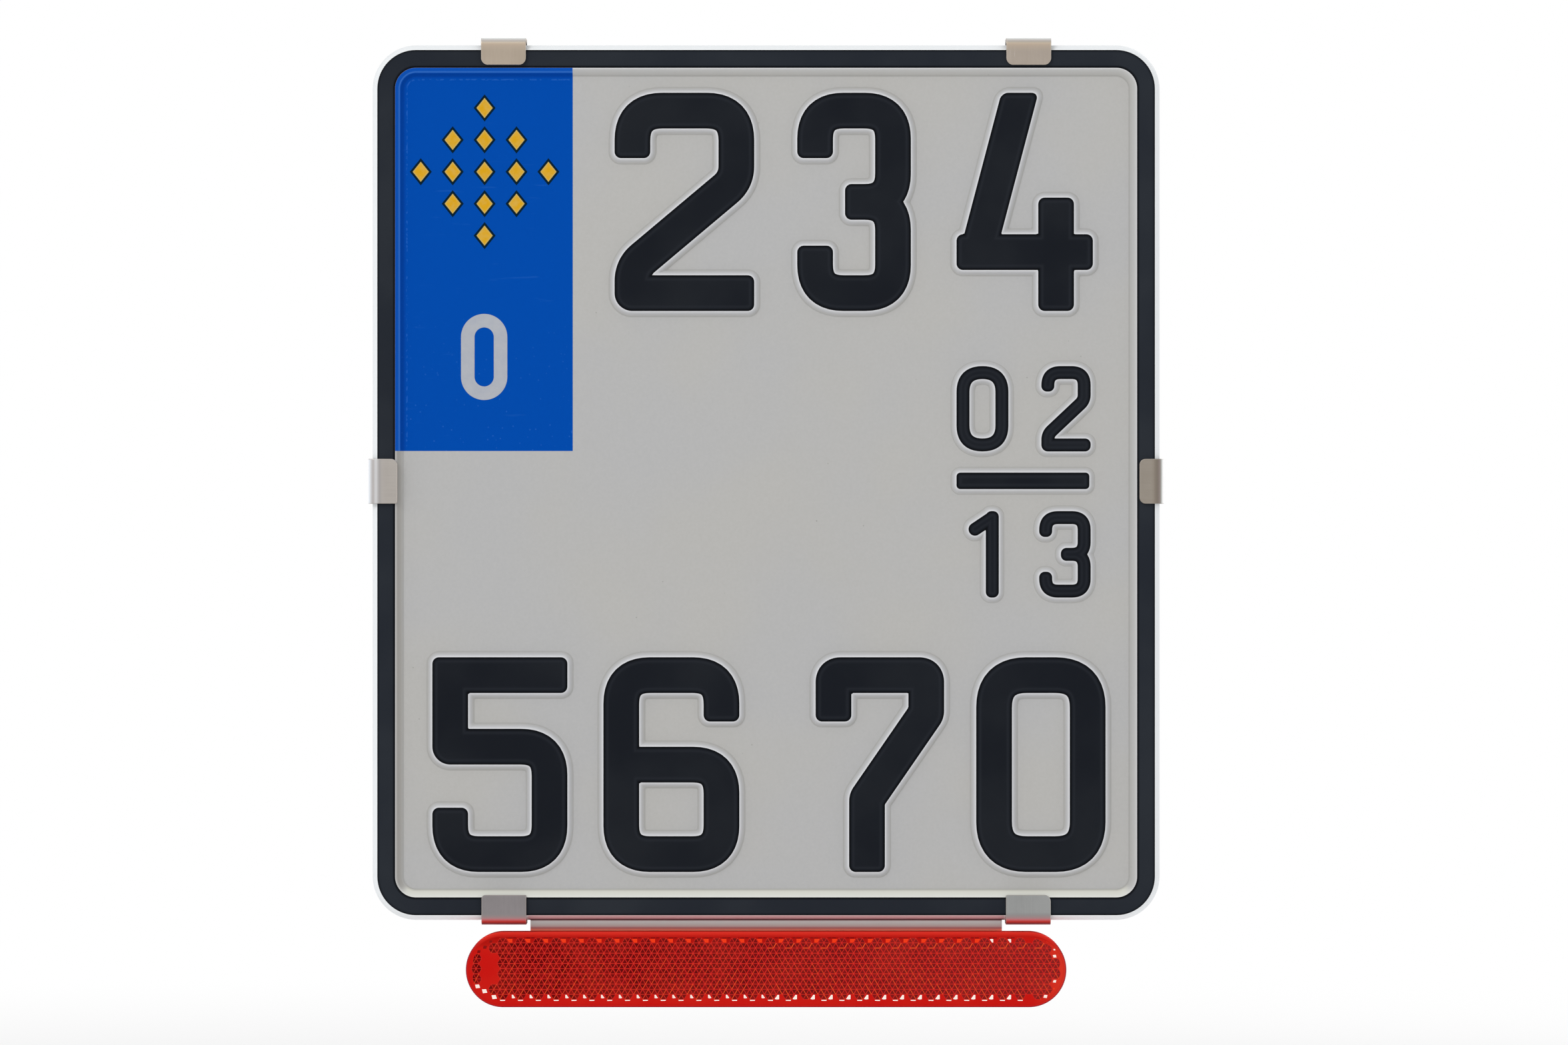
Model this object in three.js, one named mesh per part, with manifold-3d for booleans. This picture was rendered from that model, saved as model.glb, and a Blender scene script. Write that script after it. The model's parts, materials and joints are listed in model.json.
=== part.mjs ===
// Motorcycle licence plate holder: a stainless sheet whose six tabs fold over a pressed number plate,
// with a red reflector on its bottom flange. Millimetres; x right, z up, the front faces -y.
// The origin is the middle of the sheet's rear face, which lies on the vehicle's tail bracket.

import * as THREE from 'three';
import { mergeVertices, toCreasedNormals } from 'three/addons/utils/BufferGeometryUtils.js';
import Module from 'manifold-3d';

const wasm = await Module();
wasm.setup();

// Number plate, pressed from aluminium sheet
const plateWidth = 180;
const plateHeight = 200;
const plateCornerRadius = 10;
const plateThickness = 1;
const rimRise = 1.5; // how far the rim bead stands over the field
const rimTopWidth = 4.1;
const rimOuterRun = 1.1; // from the plate's edge in to the bead's top
const rimInnerRun = 1.8; // from the bead's top down to the field
const rimBendRadius = 0.8; // at mid thickness

// Holder sheet
const sheetThickness = 0.8;
const sheetInset = 1; // the sheet's edge stays this far behind the plate's
const sheetCornerRadius = 9;
const bendInnerRadius = 0.5;
const reliefWidth = 0.7; // slit beside each tab
const reliefDepth = 2.5;
const slotWidth = 6.6;
const slotLength = 30;
const slotAcross = 50; // between the middles of the slots, across
const slotUp = 70; // between the middles of the slots, up
const flangeSideInset = 35.9; // from the plate's side edge in to the flange's
const flangeCornerRadius = 4;
const flangeInset = 2; // the flange ends this far above the reflector's lower edge

// Folding clips
const clipWidth = 10.2;
const clipCornerRadius = 1.6;
const flangeSideCornerRadius = 0.3; // corner of a bottom clip next to the flange
const topClipInset = 30; // from the plate's side edge in to a top clip's middle
const topLipReach = 6.2;
const bottomLipReach = 6.8;
const leftLipReach = 6.7;
const rightLipReach = 5.6;
const foldGap = 0.1; // between web and lip along the fold, at the outside of the bend

// Room round the plate in its pocket
const sideGap = 0.1;
const bottomGap = 0.2;
const topGap = 0.8;
const lipClearance = 0.1;

// Foam strips between sheet and plate
const foamThickness = 3.9;
const foamClearance = 0.1;
const foamWidth = 10;
const foamCornerRadius = 1;
const foamSideLength = 120;
const foamCrossLength = 110;
const foamInset = 15; // from the plate's edge to the middle of a strip

// Mounting screws, washers and lock nuts
const screwDiameter = 6;
const screwLength = 16;
const screwDrop = 8; // the screws sit this far below the middles of their slots
const headDiameter = 13.6;
const headFlangeThickness = 1;
const headDomeDiameter = 10.5;
const headTopDiameter = 6.4;
const headHeight = 3.3;
const socketAcrossFlats = 4;
const socketDepth = 2;
const screwTipChamfer = 0.8;
const bracketRoom = 3; // left open on the screws for the vehicle's bracket
const threadClearance = 0.1;
const washerDiameter = 12;
const washerBore = 6.4;
const washerThickness = 1.6;
const nutAcrossFlats = 10;
const nutHexHeight = 4;
const nutCollarDiameter = 8.6;
const nutCollarHeight = 2;
const nutCollarRadius = 0.8;

// Reflector
const reflectorLength = 137.2;
const reflectorHeight = 17.1;
const reflectorGap = 1.75; // from the bottom clips down to the reflector
const reflectorDepth = 6.5;
const lensFaceThickness = 2.2;
const lensWall = 1.2;
const lensEdgeRadius = 0.5;
const lensMargin = 0.15; // from the inside of the lens wall to the nearest prism
const prismSide = 1.37; // side of the hexagon that each corner cube fills
const prismRoot = 0.2; // the lowest prism corners stand this far off the lens face
const coverThickness = 1.5;
const coverClearance = 0.12;
const tapeThickness = 1;
const tapeLength = 96;
const tapeHeight = 11;
const tapeCornerRadius = 2;

// Finish of the model
const cutOverrun = 1;
const plateCornerSteps = 10;
const lensArcSteps = 24;
const bendSteps = 3;
const turnSteps = 28;
const placesPerSide = 64; // corners of neighbouring prisms are matched to this many places along a side
const creaseAngle = THREE.MathUtils.degToRad(28);

// Places that follow from the sizes; z is how far a face stands in front of the sheet's rear face
const plateBackZ = sheetThickness + foamThickness + foamClearance;
const plateFrontZ = plateBackZ + plateThickness;
const rimTopZ = plateFrontZ + rimRise;
const lipBackZ = rimTopZ + lipClearance;
const lipFrontZ = lipBackZ + sheetThickness;
const bendOuterRadius = bendInnerRadius + sheetThickness;
const frontBendZ = lipFrontZ - bendOuterRadius;
const pocketHalfWidth = plateWidth / 2 + sideGap;
const pocketHalfHeight = (plateHeight + bottomGap + topGap) / 2;
const sideReach = pocketHalfWidth + sheetThickness;
const endReach = pocketHalfHeight + sheetThickness;
const plateMiddle = (bottomGap - topGap) / 2;
const sheetHalfWidth = plateWidth / 2 - sheetInset;
const sheetHalfHeight = plateHeight / 2 - sheetInset;
const flangeWidth = plateWidth - flangeSideInset * 2;
const topClipPlace = plateWidth / 2 - topClipInset;
const bottomClipPlace = flangeWidth / 2 + reliefWidth + clipWidth / 2;
const reflectorMiddle = -(endReach + reflectorGap + reflectorHeight / 2);
const reflectorBackZ = sheetThickness + tapeThickness;
const reflectorFrontZ = reflectorBackZ + reflectorDepth;
const lensInnerZ = reflectorFrontZ - lensFaceThickness;

const clips = [
  { name: 'top_left_clip', turn: 0, along: -topClipPlace, reach: endReach, lip: topLipReach },
  { name: 'top_right_clip', turn: 0, along: topClipPlace, reach: endReach, lip: topLipReach },
  { name: 'left_clip', turn: Math.PI / 2, along: 0, reach: sideReach, lip: leftLipReach },
  { name: 'right_clip', turn: -Math.PI / 2, along: 0, reach: sideReach, lip: rightLipReach },
  { name: 'bottom_left_clip', turn: Math.PI, along: bottomClipPlace, reach: endReach, lip: bottomLipReach,
    sharpCorner: -1 },
  { name: 'bottom_right_clip', turn: Math.PI, along: -bottomClipPlace, reach: endReach, lip: bottomLipReach,
    sharpCorner: 1 },
];

const finish = {
  stainless: { color: 0xb4aca2, roughness: 0.34, metalness: 1 },
  plateCoating: { color: 0xb2b2b0, roughness: 0.5, metalness: 0 },
  foam: { color: 0x2a2b2d, roughness: 0.95, metalness: 0 },
  zinc: { color: 0xb9bcc0, roughness: 0.4, metalness: 1 },
  redLens: { color: 0xb0242a, roughness: 0.12, metalness: 0 },
  blackPlastic: { color: 0x1f2022, roughness: 0.6, metalness: 0 },
  tape: { color: 0x3a3b3d, roughness: 0.9, metalness: 0 },
};

// A closed geometry as a solid for cutting and joining
function toSolid(geometry) {
  const bare = geometry.clone();
  bare.deleteAttribute('normal');
  bare.deleteAttribute('uv');
  const merged = mergeVertices(bare);
  return new wasm.Manifold(new wasm.Mesh({
    numProp: 3,
    vertProperties: new Float32Array(merged.attributes.position.array),
    triVerts: new Uint32Array(merged.index.array),
  }));
}

function toGeometry(solid) {
  const mesh = solid.getMesh();
  const geometry = new THREE.BufferGeometry();
  geometry.setAttribute('position', new THREE.BufferAttribute(new Float32Array(mesh.vertProperties), 3));
  geometry.setIndex(new THREE.BufferAttribute(new Uint32Array(mesh.triVerts), 1));
  return toCreasedNormals(geometry, creaseAngle);
}

// A flat shape given thickness, its rear face at backZ
function slab(shape, backZ, thickness, curveSegments = bendSteps) {
  const geometry = new THREE.ExtrudeGeometry(shape, { depth: thickness, bevelEnabled: false, curveSegments });
  return geometry.translate(0, 0, backZ);
}

function roundedRectangle(width, height, radius) {
  const shape = new THREE.Shape();
  const x = width / 2 - radius;
  const y = height / 2 - radius;
  shape.absarc(x, y, radius, 0, Math.PI / 2);
  shape.absarc(-x, y, radius, Math.PI / 2, Math.PI);
  shape.absarc(-x, -y, radius, Math.PI, Math.PI * 1.5);
  shape.absarc(x, -y, radius, Math.PI * 1.5, Math.PI * 2);
  return shape;
}

function rectangle(left, right, bottom, top) {
  const shape = new THREE.Shape();
  shape.moveTo(left, bottom);
  shape.lineTo(right, bottom);
  shape.lineTo(right, top);
  shape.lineTo(left, top);
  return shape;
}

// Points along a closed run of arcs, all moved inward by one inset
function arcOutline(arcs, radius, steps) {
  return (inset) => arcs.flatMap(({ x, y, from, sweep }) => Array.from({ length: steps + 1 }, (_, step) => {
    const angle = from + sweep * step / steps;
    return new THREE.Vector2(x + (radius - inset) * Math.cos(angle), y + (radius - inset) * Math.sin(angle));
  }));
}

function plateOutline() {
  const x = plateWidth / 2 - plateCornerRadius;
  const y = plateHeight / 2 - plateCornerRadius;
  const corners = [[x, y], [-x, y], [-x, -y], [x, -y]];
  const arcs = corners.map(([cornerX, cornerY], quarter) => (
    { x: cornerX, y: cornerY, from: quarter * Math.PI / 2, sweep: Math.PI / 2 }));
  return arcOutline(arcs, plateCornerRadius, plateCornerSteps);
}

function stadiumOutline() {
  const x = (reflectorLength - reflectorHeight) / 2;
  const arcs = [
    { x, y: 0, from: -Math.PI / 2, sweep: Math.PI },
    { x: -x, y: 0, from: Math.PI / 2, sweep: Math.PI },
  ];
  return arcOutline(arcs, reflectorHeight / 2, lensArcSteps);
}

// A closed body through rings of one outline, from a rear cap to a front cap
function ringBody(outline, rings) {
  const loops = rings.map(({ inset, z }) => outline(inset).map(({ x, y }) => [x, y, z]));
  const count = loops[0].length;
  const indices = [];
  for (let ring = 0; ring + 1 < loops.length; ring += 1) {
    for (let k = 0; k < count; k += 1) {
      const a = ring * count + k;
      const b = ring * count + (k + 1) % count;
      indices.push(a, b, b + count, a, b + count, a + count);
    }
  }
  const rearCap = THREE.ShapeUtils.triangulateShape(outline(rings[0].inset), []);
  const frontCap = THREE.ShapeUtils.triangulateShape(outline(rings.at(-1).inset), []);
  const lastLoop = (loops.length - 1) * count;
  rearCap.forEach(([a, b, c]) => indices.push(a, c, b));
  frontCap.forEach(([a, b, c]) => indices.push(a + lastLoop, b + lastLoop, c + lastLoop));
  const geometry = new THREE.BufferGeometry();
  geometry.setAttribute('position', new THREE.Float32BufferAttribute(loops.flat(2), 3));
  geometry.setIndex(indices);
  return geometry;
}

// A turned body about z from a closed profile of [radius, z] points
function turned(profile) {
  const points = profile.map(([radius, z]) => new THREE.Vector2(radius, z));
  const closed = profile[0][0] > 0 ? [...points, points[0]] : points;
  return new THREE.LatheGeometry(closed, turnSteps).rotateX(Math.PI / 2);
}

function hexagon(acrossFlats) {
  const shape = new THREE.Shape();
  const corner = acrossFlats / Math.sqrt(3);
  for (let k = 0; k < 6; k += 1) {
    const angle = k * Math.PI / 3;
    shape.lineTo(corner * Math.cos(angle), corner * Math.sin(angle));
  }
  return shape;
}

// Clips are drawn standing at the top edge: u outward, z forward, width along x; then turned into place
function clipMatrix({ turn, along }) {
  return new THREE.Matrix4().makeRotationZ(turn).multiply(new THREE.Matrix4().makeTranslation(along, 0, 0));
}

function alongClip(profile) {
  const geometry = new THREE.ExtrudeGeometry(profile, {
    depth: clipWidth, bevelEnabled: false, curveSegments: bendSteps,
  });
  geometry.translate(0, 0, -clipWidth / 2);
  const axes = [new THREE.Vector3(0, 1, 0), new THREE.Vector3(0, 0, 1), new THREE.Vector3(1, 0, 0)];
  return geometry.applyMatrix4(new THREE.Matrix4().makeBasis(...axes));
}

// The web rises from the sheet and keeps the first half of the front bend
function webProfile(reach) {
  const edge = reach - bendOuterRadius;
  const root = edge - bendOuterRadius - reliefDepth;
  const foldAngle = Math.PI / 4 - foldGap / bendOuterRadius / 2;
  const shape = new THREE.Shape();
  shape.moveTo(root, 0);
  shape.absarc(edge, bendOuterRadius, bendOuterRadius, -Math.PI / 2, 0);
  shape.absarc(edge, frontBendZ, bendOuterRadius, 0, foldAngle);
  shape.absarc(edge, frontBendZ, bendInnerRadius, foldAngle, 0, true);
  shape.absarc(edge, bendOuterRadius, bendInnerRadius, 0, -Math.PI / 2, true);
  shape.lineTo(root, sheetThickness);
  return shape;
}

// The lip keeps the second half of the bend and runs in over the plate's rim
function lipProfile(reach, lip) {
  const edge = reach - bendOuterRadius;
  const foldAngle = Math.PI / 4 + foldGap / bendOuterRadius / 2;
  const shape = new THREE.Shape();
  shape.absarc(edge, frontBendZ, bendOuterRadius, foldAngle, Math.PI / 2);
  shape.lineTo(reach - lip, lipFrontZ);
  shape.lineTo(reach - lip, lipBackZ);
  shape.absarc(edge, frontBendZ, bendInnerRadius, Math.PI / 2, foldAngle, true);
  return shape;
}

function lipPlan(reach, lip, leftRadius, rightRadius) {
  const half = clipWidth / 2;
  const end = reach - lip;
  const shape = new THREE.Shape();
  shape.moveTo(half, reach + cutOverrun);
  shape.lineTo(-half, reach + cutOverrun);
  shape.absarc(leftRadius - half, end + leftRadius, leftRadius, Math.PI, Math.PI * 1.5);
  shape.absarc(half - rightRadius, end + rightRadius, rightRadius, Math.PI * 1.5, Math.PI * 2);
  return shape;
}

function lipGeometry({ reach, lip, sharpCorner = 0 }) {
  const leftRadius = sharpCorner < 0 ? flangeSideCornerRadius : clipCornerRadius;
  const rightRadius = sharpCorner > 0 ? flangeSideCornerRadius : clipCornerRadius;
  const plan = slab(lipPlan(reach, lip, leftRadius, rightRadius), 0, lipFrontZ + cutOverrun);
  return toGeometry(toSolid(alongClip(lipProfile(reach, lip))).intersect(toSolid(plan)));
}

function sheetGeometry() {
  const outline = roundedRectangle(sheetHalfWidth * 2, sheetHalfHeight * 2, sheetCornerRadius);
  for (const x of [-slotAcross / 2, slotAcross / 2]) {
    for (const y of [-slotUp / 2, slotUp / 2]) {
      const slot = roundedRectangle(slotWidth, slotLength, slotWidth / 2).getPoints(bendSteps);
      outline.holes.push(new THREE.Path(slot.map((p) => p.add(new THREE.Vector2(x, y)))));
    }
  }
  let sheet = toSolid(slab(outline, 0, sheetThickness)).add(toSolid(slab(flangeShape(), 0, sheetThickness)));
  for (const clip of clips) {
    const edge = clip.turn === 0 || clip.turn === Math.PI ? sheetHalfHeight : sheetHalfWidth;
    for (const side of [-1, 1]) {
      const middle = side * (clipWidth + reliefWidth) / 2;
      const slit = rectangle(middle - reliefWidth / 2, middle + reliefWidth / 2,
        edge - reliefDepth, clip.reach);
      const cutter = slab(slit, -cutOverrun, sheetThickness + cutOverrun * 2);
      sheet = sheet.subtract(toSolid(cutter.applyMatrix4(clipMatrix(clip))));
    }
    sheet = sheet.add(toSolid(alongClip(webProfile(clip.reach)).applyMatrix4(clipMatrix(clip))));
  }
  return toGeometry(sheet);
}

// The flange hangs below the sheet and carries the reflector
function flangeShape() {
  const half = flangeWidth / 2;
  const end = reflectorMiddle - reflectorHeight / 2 + flangeInset;
  const shape = new THREE.Shape();
  shape.moveTo(half, -sheetHalfHeight + reliefDepth);
  shape.lineTo(-half, -sheetHalfHeight + reliefDepth);
  shape.absarc(flangeCornerRadius - half, end + flangeCornerRadius, flangeCornerRadius,
    Math.PI, Math.PI * 1.5);
  shape.absarc(half - flangeCornerRadius, end + flangeCornerRadius, flangeCornerRadius,
    Math.PI * 1.5, Math.PI * 2);
  return shape;
}

// Corners of a path rounded by short arcs, so that a bent sheet keeps its thickness
function roundedCorners(corners, radius) {
  return corners.flatMap((corner, k) => {
    if (k === 0 || k === corners.length - 1) return [corner];
    const before = corners[k - 1].clone().sub(corner).normalize();
    const after = corners[k + 1].clone().sub(corner).normalize();
    const half = Math.acos(before.dot(after)) / 2;
    const setback = radius / Math.tan(half);
    const start = corner.clone().addScaledVector(before, setback);
    const end = corner.clone().addScaledVector(after, setback);
    return new THREE.QuadraticBezierCurve(start, corner, end).getPoints(bendSteps);
  });
}

// The path moved sideways by a distance, to its left, with mitred corners
function beside(path, distance) {
  return path.map((point, k) => {
    const into = k > 0 ? point.clone().sub(path[k - 1]).normalize() : null;
    const out = k + 1 < path.length ? path[k + 1].clone().sub(point).normalize() : null;
    const heading = (into ?? out).clone().add(out ?? into).normalize();
    const stretch = into && out ? 1 / heading.dot(into) : 1;
    return point.clone().add(new THREE.Vector2(-heading.y, heading.x).multiplyScalar(distance * stretch));
  });
}

// The pressed plate: its section runs from the edge over the rim bead to the field
function plateGeometry() {
  const middleZ = plateBackZ + plateThickness / 2;
  const edgeSlope = Math.atan2(rimRise, rimOuterRun);
  const edgeInset = plateThickness / 2 * Math.sin(edgeSlope);
  const topStart = rimOuterRun + plateThickness / 2 * Math.tan(edgeSlope / 2);
  const topEnd = rimOuterRun + rimTopWidth;
  const section = roundedCorners([
    new THREE.Vector2(edgeInset, middleZ),
    new THREE.Vector2(topStart, middleZ + rimRise),
    new THREE.Vector2(topEnd, middleZ + rimRise),
    new THREE.Vector2(topEnd + rimInnerRun, middleZ),
    new THREE.Vector2(topEnd + rimInnerRun * 2, middleZ),
  ], rimBendRadius);
  const front = beside(section, plateThickness / 2);
  const back = beside(section, -plateThickness / 2);
  const rings = [...back.reverse(), ...front].map(({ x, y }) => ({ inset: x, z: y }));
  return ringBody(plateOutline(), rings).translate(0, plateMiddle, 0);
}

// The lens: a tray open to the rear, with whole corner cubes standing behind its face
function lensGeometry() {
  const edge = Array.from({ length: bendSteps + 1 }, (_, step) => {
    const angle = step / bendSteps * Math.PI / 2;
    return {
      inset: lensEdgeRadius * (1 - Math.cos(angle)),
      z: reflectorFrontZ - lensEdgeRadius * (1 - Math.sin(angle)),
    };
  });
  const tray = ringBody(stadiumOutline(), [
    { inset: lensWall, z: lensInnerZ },
    { inset: lensWall, z: reflectorBackZ },
    { inset: 0, z: reflectorBackZ },
    ...edge,
  ]);
  return toGeometry(toSolid(tray).add(toSolid(prismArray()))).translate(0, reflectorMiddle, 0);
}

// Centres of the hexagons that fit whole inside the lens wall, in columns half a cell out of step
function prismCentres() {
  const columnPitch = prismSide * 1.5;
  const rowPitch = prismSide * Math.sqrt(3);
  const room = reflectorHeight / 2 - lensWall - lensMargin;
  const arcX = (reflectorLength - reflectorHeight) / 2;
  const columns = Math.ceil(reflectorLength / 2 / columnPitch);
  const rows = Math.ceil(room / rowPitch);
  const inside = ([x, y]) => Math.hypot(Math.max(Math.abs(x) - arcX, 0), y) <= room;
  const centres = [];
  for (let column = -columns; column <= columns; column += 1) {
    const shift = column % 2 === 0 ? 0 : rowPitch / 2;
    for (let row = -rows; row <= rows; row += 1) {
      const centre = [column * columnPitch, row * rowPitch + shift];
      if (hexCorners(centre).every(inside)) centres.push(centre);
    }
  }
  return centres;
}

function hexCorners([x, y]) {
  return Array.from({ length: 6 }, (_, k) => {
    const angle = k * Math.PI / 3;
    return [x + prismSide * Math.cos(angle), y + prismSide * Math.sin(angle)];
  });
}

// Each cell is a cube's corner seen along its diagonal: the middle stands two steps off the lens face,
// and its corners one step and none in turn, which makes three square faces at right angles
function prismArray() {
  const step = prismSide / Math.sqrt(2);
  const rootZ = lensInnerZ - prismRoot;
  const baseZ = lensInnerZ + lensFaceThickness / 4;
  const triangles = [];
  const rims = new Map();
  const keyOf = (corner) => corner.map((place) => Math.round(place / prismSide * placesPerSide)).join();
  for (const centre of prismCentres()) {
    const corners = hexCorners(centre);
    const rear = corners.map(([x, y], k) => [x, y, rootZ - (k % 2 === 0 ? step : 0)]);
    const base = corners.map(([x, y]) => [x, y, baseZ]);
    const apex = [...centre, rootZ - step * 2];
    const baseMiddle = [...centre, baseZ];
    corners.forEach((corner, k) => {
      const next = (k + 1) % 6;
      triangles.push([apex, rear[next], rear[k]], [baseMiddle, base[k], base[next]]);
      const rim = `${keyOf(corner)} ${keyOf(corners[next])}`;
      const shared = `${keyOf(corners[next])} ${keyOf(corner)}`;
      if (rims.has(shared)) {
        rims.delete(shared);
      } else {
        rims.set(rim, [
          [rear[k], rear[next], base[next]],
          [rear[k], base[next], base[k]],
        ]);
      }
    });
  }
  triangles.push(...[...rims.values()].flat());
  const geometry = new THREE.BufferGeometry();
  geometry.setAttribute('position', new THREE.Float32BufferAttribute(triangles.flat(2), 3));
  return geometry;
}

function coverGeometry() {
  const inset = lensWall + coverClearance;
  return ringBody(stadiumOutline(), [
    { inset, z: reflectorBackZ },
    { inset, z: reflectorBackZ + coverThickness },
  ]).translate(0, reflectorMiddle, 0);
}

function screwGeometry() {
  const shank = screwDiameter / 2 - threadClearance;
  const seat = sheetThickness;
  const tip = seat - screwLength;
  const rise = headHeight - headFlangeThickness;
  const domeShares = [0.35, 0.65, 0.88];
  const dome = domeShares.map((share) => [
    headTopDiameter / 2 + (headDomeDiameter - headTopDiameter) / 2 * Math.sqrt(1 - share * share),
    seat + headFlangeThickness + rise * share,
  ]);
  const body = turned([
    [0, tip],
    [shank - screwTipChamfer, tip],
    [shank, tip + screwTipChamfer],
    [shank, seat],
    [headDiameter / 2, seat],
    [headDiameter / 2, seat + headFlangeThickness / 2],
    [headDomeDiameter / 2, seat + headFlangeThickness],
    ...dome,
    [headTopDiameter / 2, seat + headHeight],
    [0, seat + headHeight],
  ]);
  const socket = slab(hexagon(socketAcrossFlats), seat + headHeight - socketDepth, socketDepth + cutOverrun);
  return toGeometry(toSolid(body).subtract(toSolid(socket)));
}

function washerGeometry() {
  const back = -bracketRoom - washerThickness;
  return turned([
    [washerBore / 2, back],
    [washerDiameter / 2, back],
    [washerDiameter / 2, -bracketRoom],
    [washerBore / 2, -bracketRoom],
  ]);
}

function nutGeometry() {
  const face = -bracketRoom - washerThickness;
  const hexBack = face - nutHexHeight;
  const bore = screwDiameter / 2;
  const collar = nutCollarDiameter / 2;
  const body = slab(hexagon(nutAcrossFlats), hexBack, nutHexHeight);
  const ring = turned([
    [0, hexBack - nutCollarHeight],
    [collar - nutCollarRadius, hexBack - nutCollarHeight],
    [collar, hexBack - nutCollarHeight + nutCollarRadius],
    [collar, face - nutHexHeight / 2],
    [0, face - nutHexHeight / 2],
  ]);
  const hole = turned([
    [0, hexBack - nutCollarHeight - cutOverrun],
    [bore, hexBack - nutCollarHeight - cutOverrun],
    [bore, face + cutOverrun],
    [0, face + cutOverrun],
  ]);
  return toGeometry(toSolid(body).add(toSolid(ring)).subtract(toSolid(hole)));
}

const part = new THREE.Group();
const holder = new THREE.Group();
holder.rotation.x = Math.PI / 2; // what is drawn in x and y stands up, and its front faces -y
part.add(holder);

function addPiece(name, geometry, look, parent = holder) {
  const piece = new THREE.Mesh(geometry, new THREE.MeshStandardMaterial(look));
  piece.name = name;
  parent.add(piece);
  return piece;
}

function addClips() {
  for (const clip of clips) {
    const seat = new THREE.Group();
    seat.applyMatrix4(clipMatrix(clip));
    holder.add(seat);
    addPiece(clip.name, lipGeometry(clip), finish.stainless, seat);
  }
}

function addFoam() {
  const across = plateWidth / 2 - foamInset;
  const up = plateHeight / 2 - foamInset;
  const strip = (width, height) => (
    slab(roundedRectangle(width, height, foamCornerRadius), sheetThickness, foamThickness));
  const upright = strip(foamWidth, foamSideLength);
  const level = strip(foamCrossLength, foamWidth);
  addPiece('left_foam_strip', upright, finish.foam).position.x = -across;
  addPiece('right_foam_strip', upright, finish.foam).position.x = across;
  addPiece('top_foam_strip', level, finish.foam).position.y = up;
  addPiece('bottom_foam_strip', level, finish.foam).position.y = -up;
}

function addFasteners() {
  const places = [
    ['top_left', -1, 1],
    ['top_right', 1, 1],
    ['bottom_left', -1, -1],
    ['bottom_right', 1, -1],
  ];
  for (const [place, side, level] of places) {
    const seat = new THREE.Group();
    seat.position.set(side * slotAcross / 2, level * slotUp / 2 - screwDrop, 0);
    holder.add(seat);
    addPiece(`${place}_screw`, screwGeometry(), finish.zinc, seat);
    addPiece(`${place}_washer`, washerGeometry(), finish.zinc, seat);
    addPiece(`${place}_lock_nut`, nutGeometry(), finish.zinc, seat);
  }
}

function addReflector() {
  const tapeShape = roundedRectangle(tapeLength, tapeHeight, tapeCornerRadius);
  const tape = slab(tapeShape, sheetThickness, tapeThickness);
  addPiece('reflector_tape', tape, finish.tape).position.y = reflectorMiddle;
  addPiece('reflector_cover', coverGeometry(), finish.blackPlastic);
  addPiece('reflector_lens', lensGeometry(), finish.redLens);
}

addPiece('back_sheet', sheetGeometry(), finish.stainless);
addPiece('number_plate', plateGeometry(), finish.plateCoating);
addClips();
addFoam();
addFasteners();
addReflector();

export default part;
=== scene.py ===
import json
import math

import bmesh
import bpy
import numpy as np
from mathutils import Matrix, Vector
from mathutils.geometry import tessellate_polygon


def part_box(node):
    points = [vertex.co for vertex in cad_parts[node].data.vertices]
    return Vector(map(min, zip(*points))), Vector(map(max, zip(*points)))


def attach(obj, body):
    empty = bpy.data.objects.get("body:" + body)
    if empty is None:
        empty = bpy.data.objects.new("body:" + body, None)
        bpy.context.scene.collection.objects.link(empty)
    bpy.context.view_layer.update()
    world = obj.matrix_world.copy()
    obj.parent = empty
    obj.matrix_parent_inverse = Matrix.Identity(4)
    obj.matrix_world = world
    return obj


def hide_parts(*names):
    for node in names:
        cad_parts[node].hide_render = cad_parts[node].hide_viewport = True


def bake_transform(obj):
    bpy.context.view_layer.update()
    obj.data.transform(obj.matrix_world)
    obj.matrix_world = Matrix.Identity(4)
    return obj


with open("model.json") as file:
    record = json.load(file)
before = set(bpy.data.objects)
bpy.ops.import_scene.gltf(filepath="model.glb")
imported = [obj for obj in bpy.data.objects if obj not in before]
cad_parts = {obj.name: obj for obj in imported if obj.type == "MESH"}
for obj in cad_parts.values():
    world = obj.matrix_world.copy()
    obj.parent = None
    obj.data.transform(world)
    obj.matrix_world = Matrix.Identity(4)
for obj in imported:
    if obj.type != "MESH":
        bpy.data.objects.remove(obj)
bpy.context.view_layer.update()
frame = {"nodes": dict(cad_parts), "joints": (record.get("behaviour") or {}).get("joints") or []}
mm = 0.001


def toLinear(hexText):
    # sRGB hex to the linear colour that shaders work in
    channels = np.array([int(hexText[k:k + 2], 16) for k in (1, 3, 5)]) / 255
    linear = np.where(channels > 0.04045, ((channels + 0.055) / 1.055) ** 2.4, channels / 12.92)
    return (*linear.tolist(), 1.0)


def perSize(sizeInMm):
    # the texture scale at which a pattern on Object coordinates repeats about once in this size
    return 1 / (sizeInMm * mm)


def addNode(tree, kind, settings=None, sockets=None, out=0, stops=()):
    # adds a node with its own properties, its inputs, each a value or another node's output, and a ramp's
    # stops, and returns the output asked for
    node = tree.nodes.new(kind)
    for name, value in (settings or {}).items():
        setattr(node, name, value)
    for name, value in (sockets or {}).items():
        if isinstance(value, bpy.types.NodeSocket):
            tree.links.new(value, node.inputs[name])
        else:
            node.inputs[name].default_value = value
    if stops:
        elements = node.color_ramp.elements
        for element, (place, colour) in zip(elements, (stops[0], stops[-1])):
            element.position, element.color = place, colour
        for place, colour in stops[1:-1]:
            elements.new(place).color = colour
    return node.outputs[out] if len(node.outputs) else node


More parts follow.
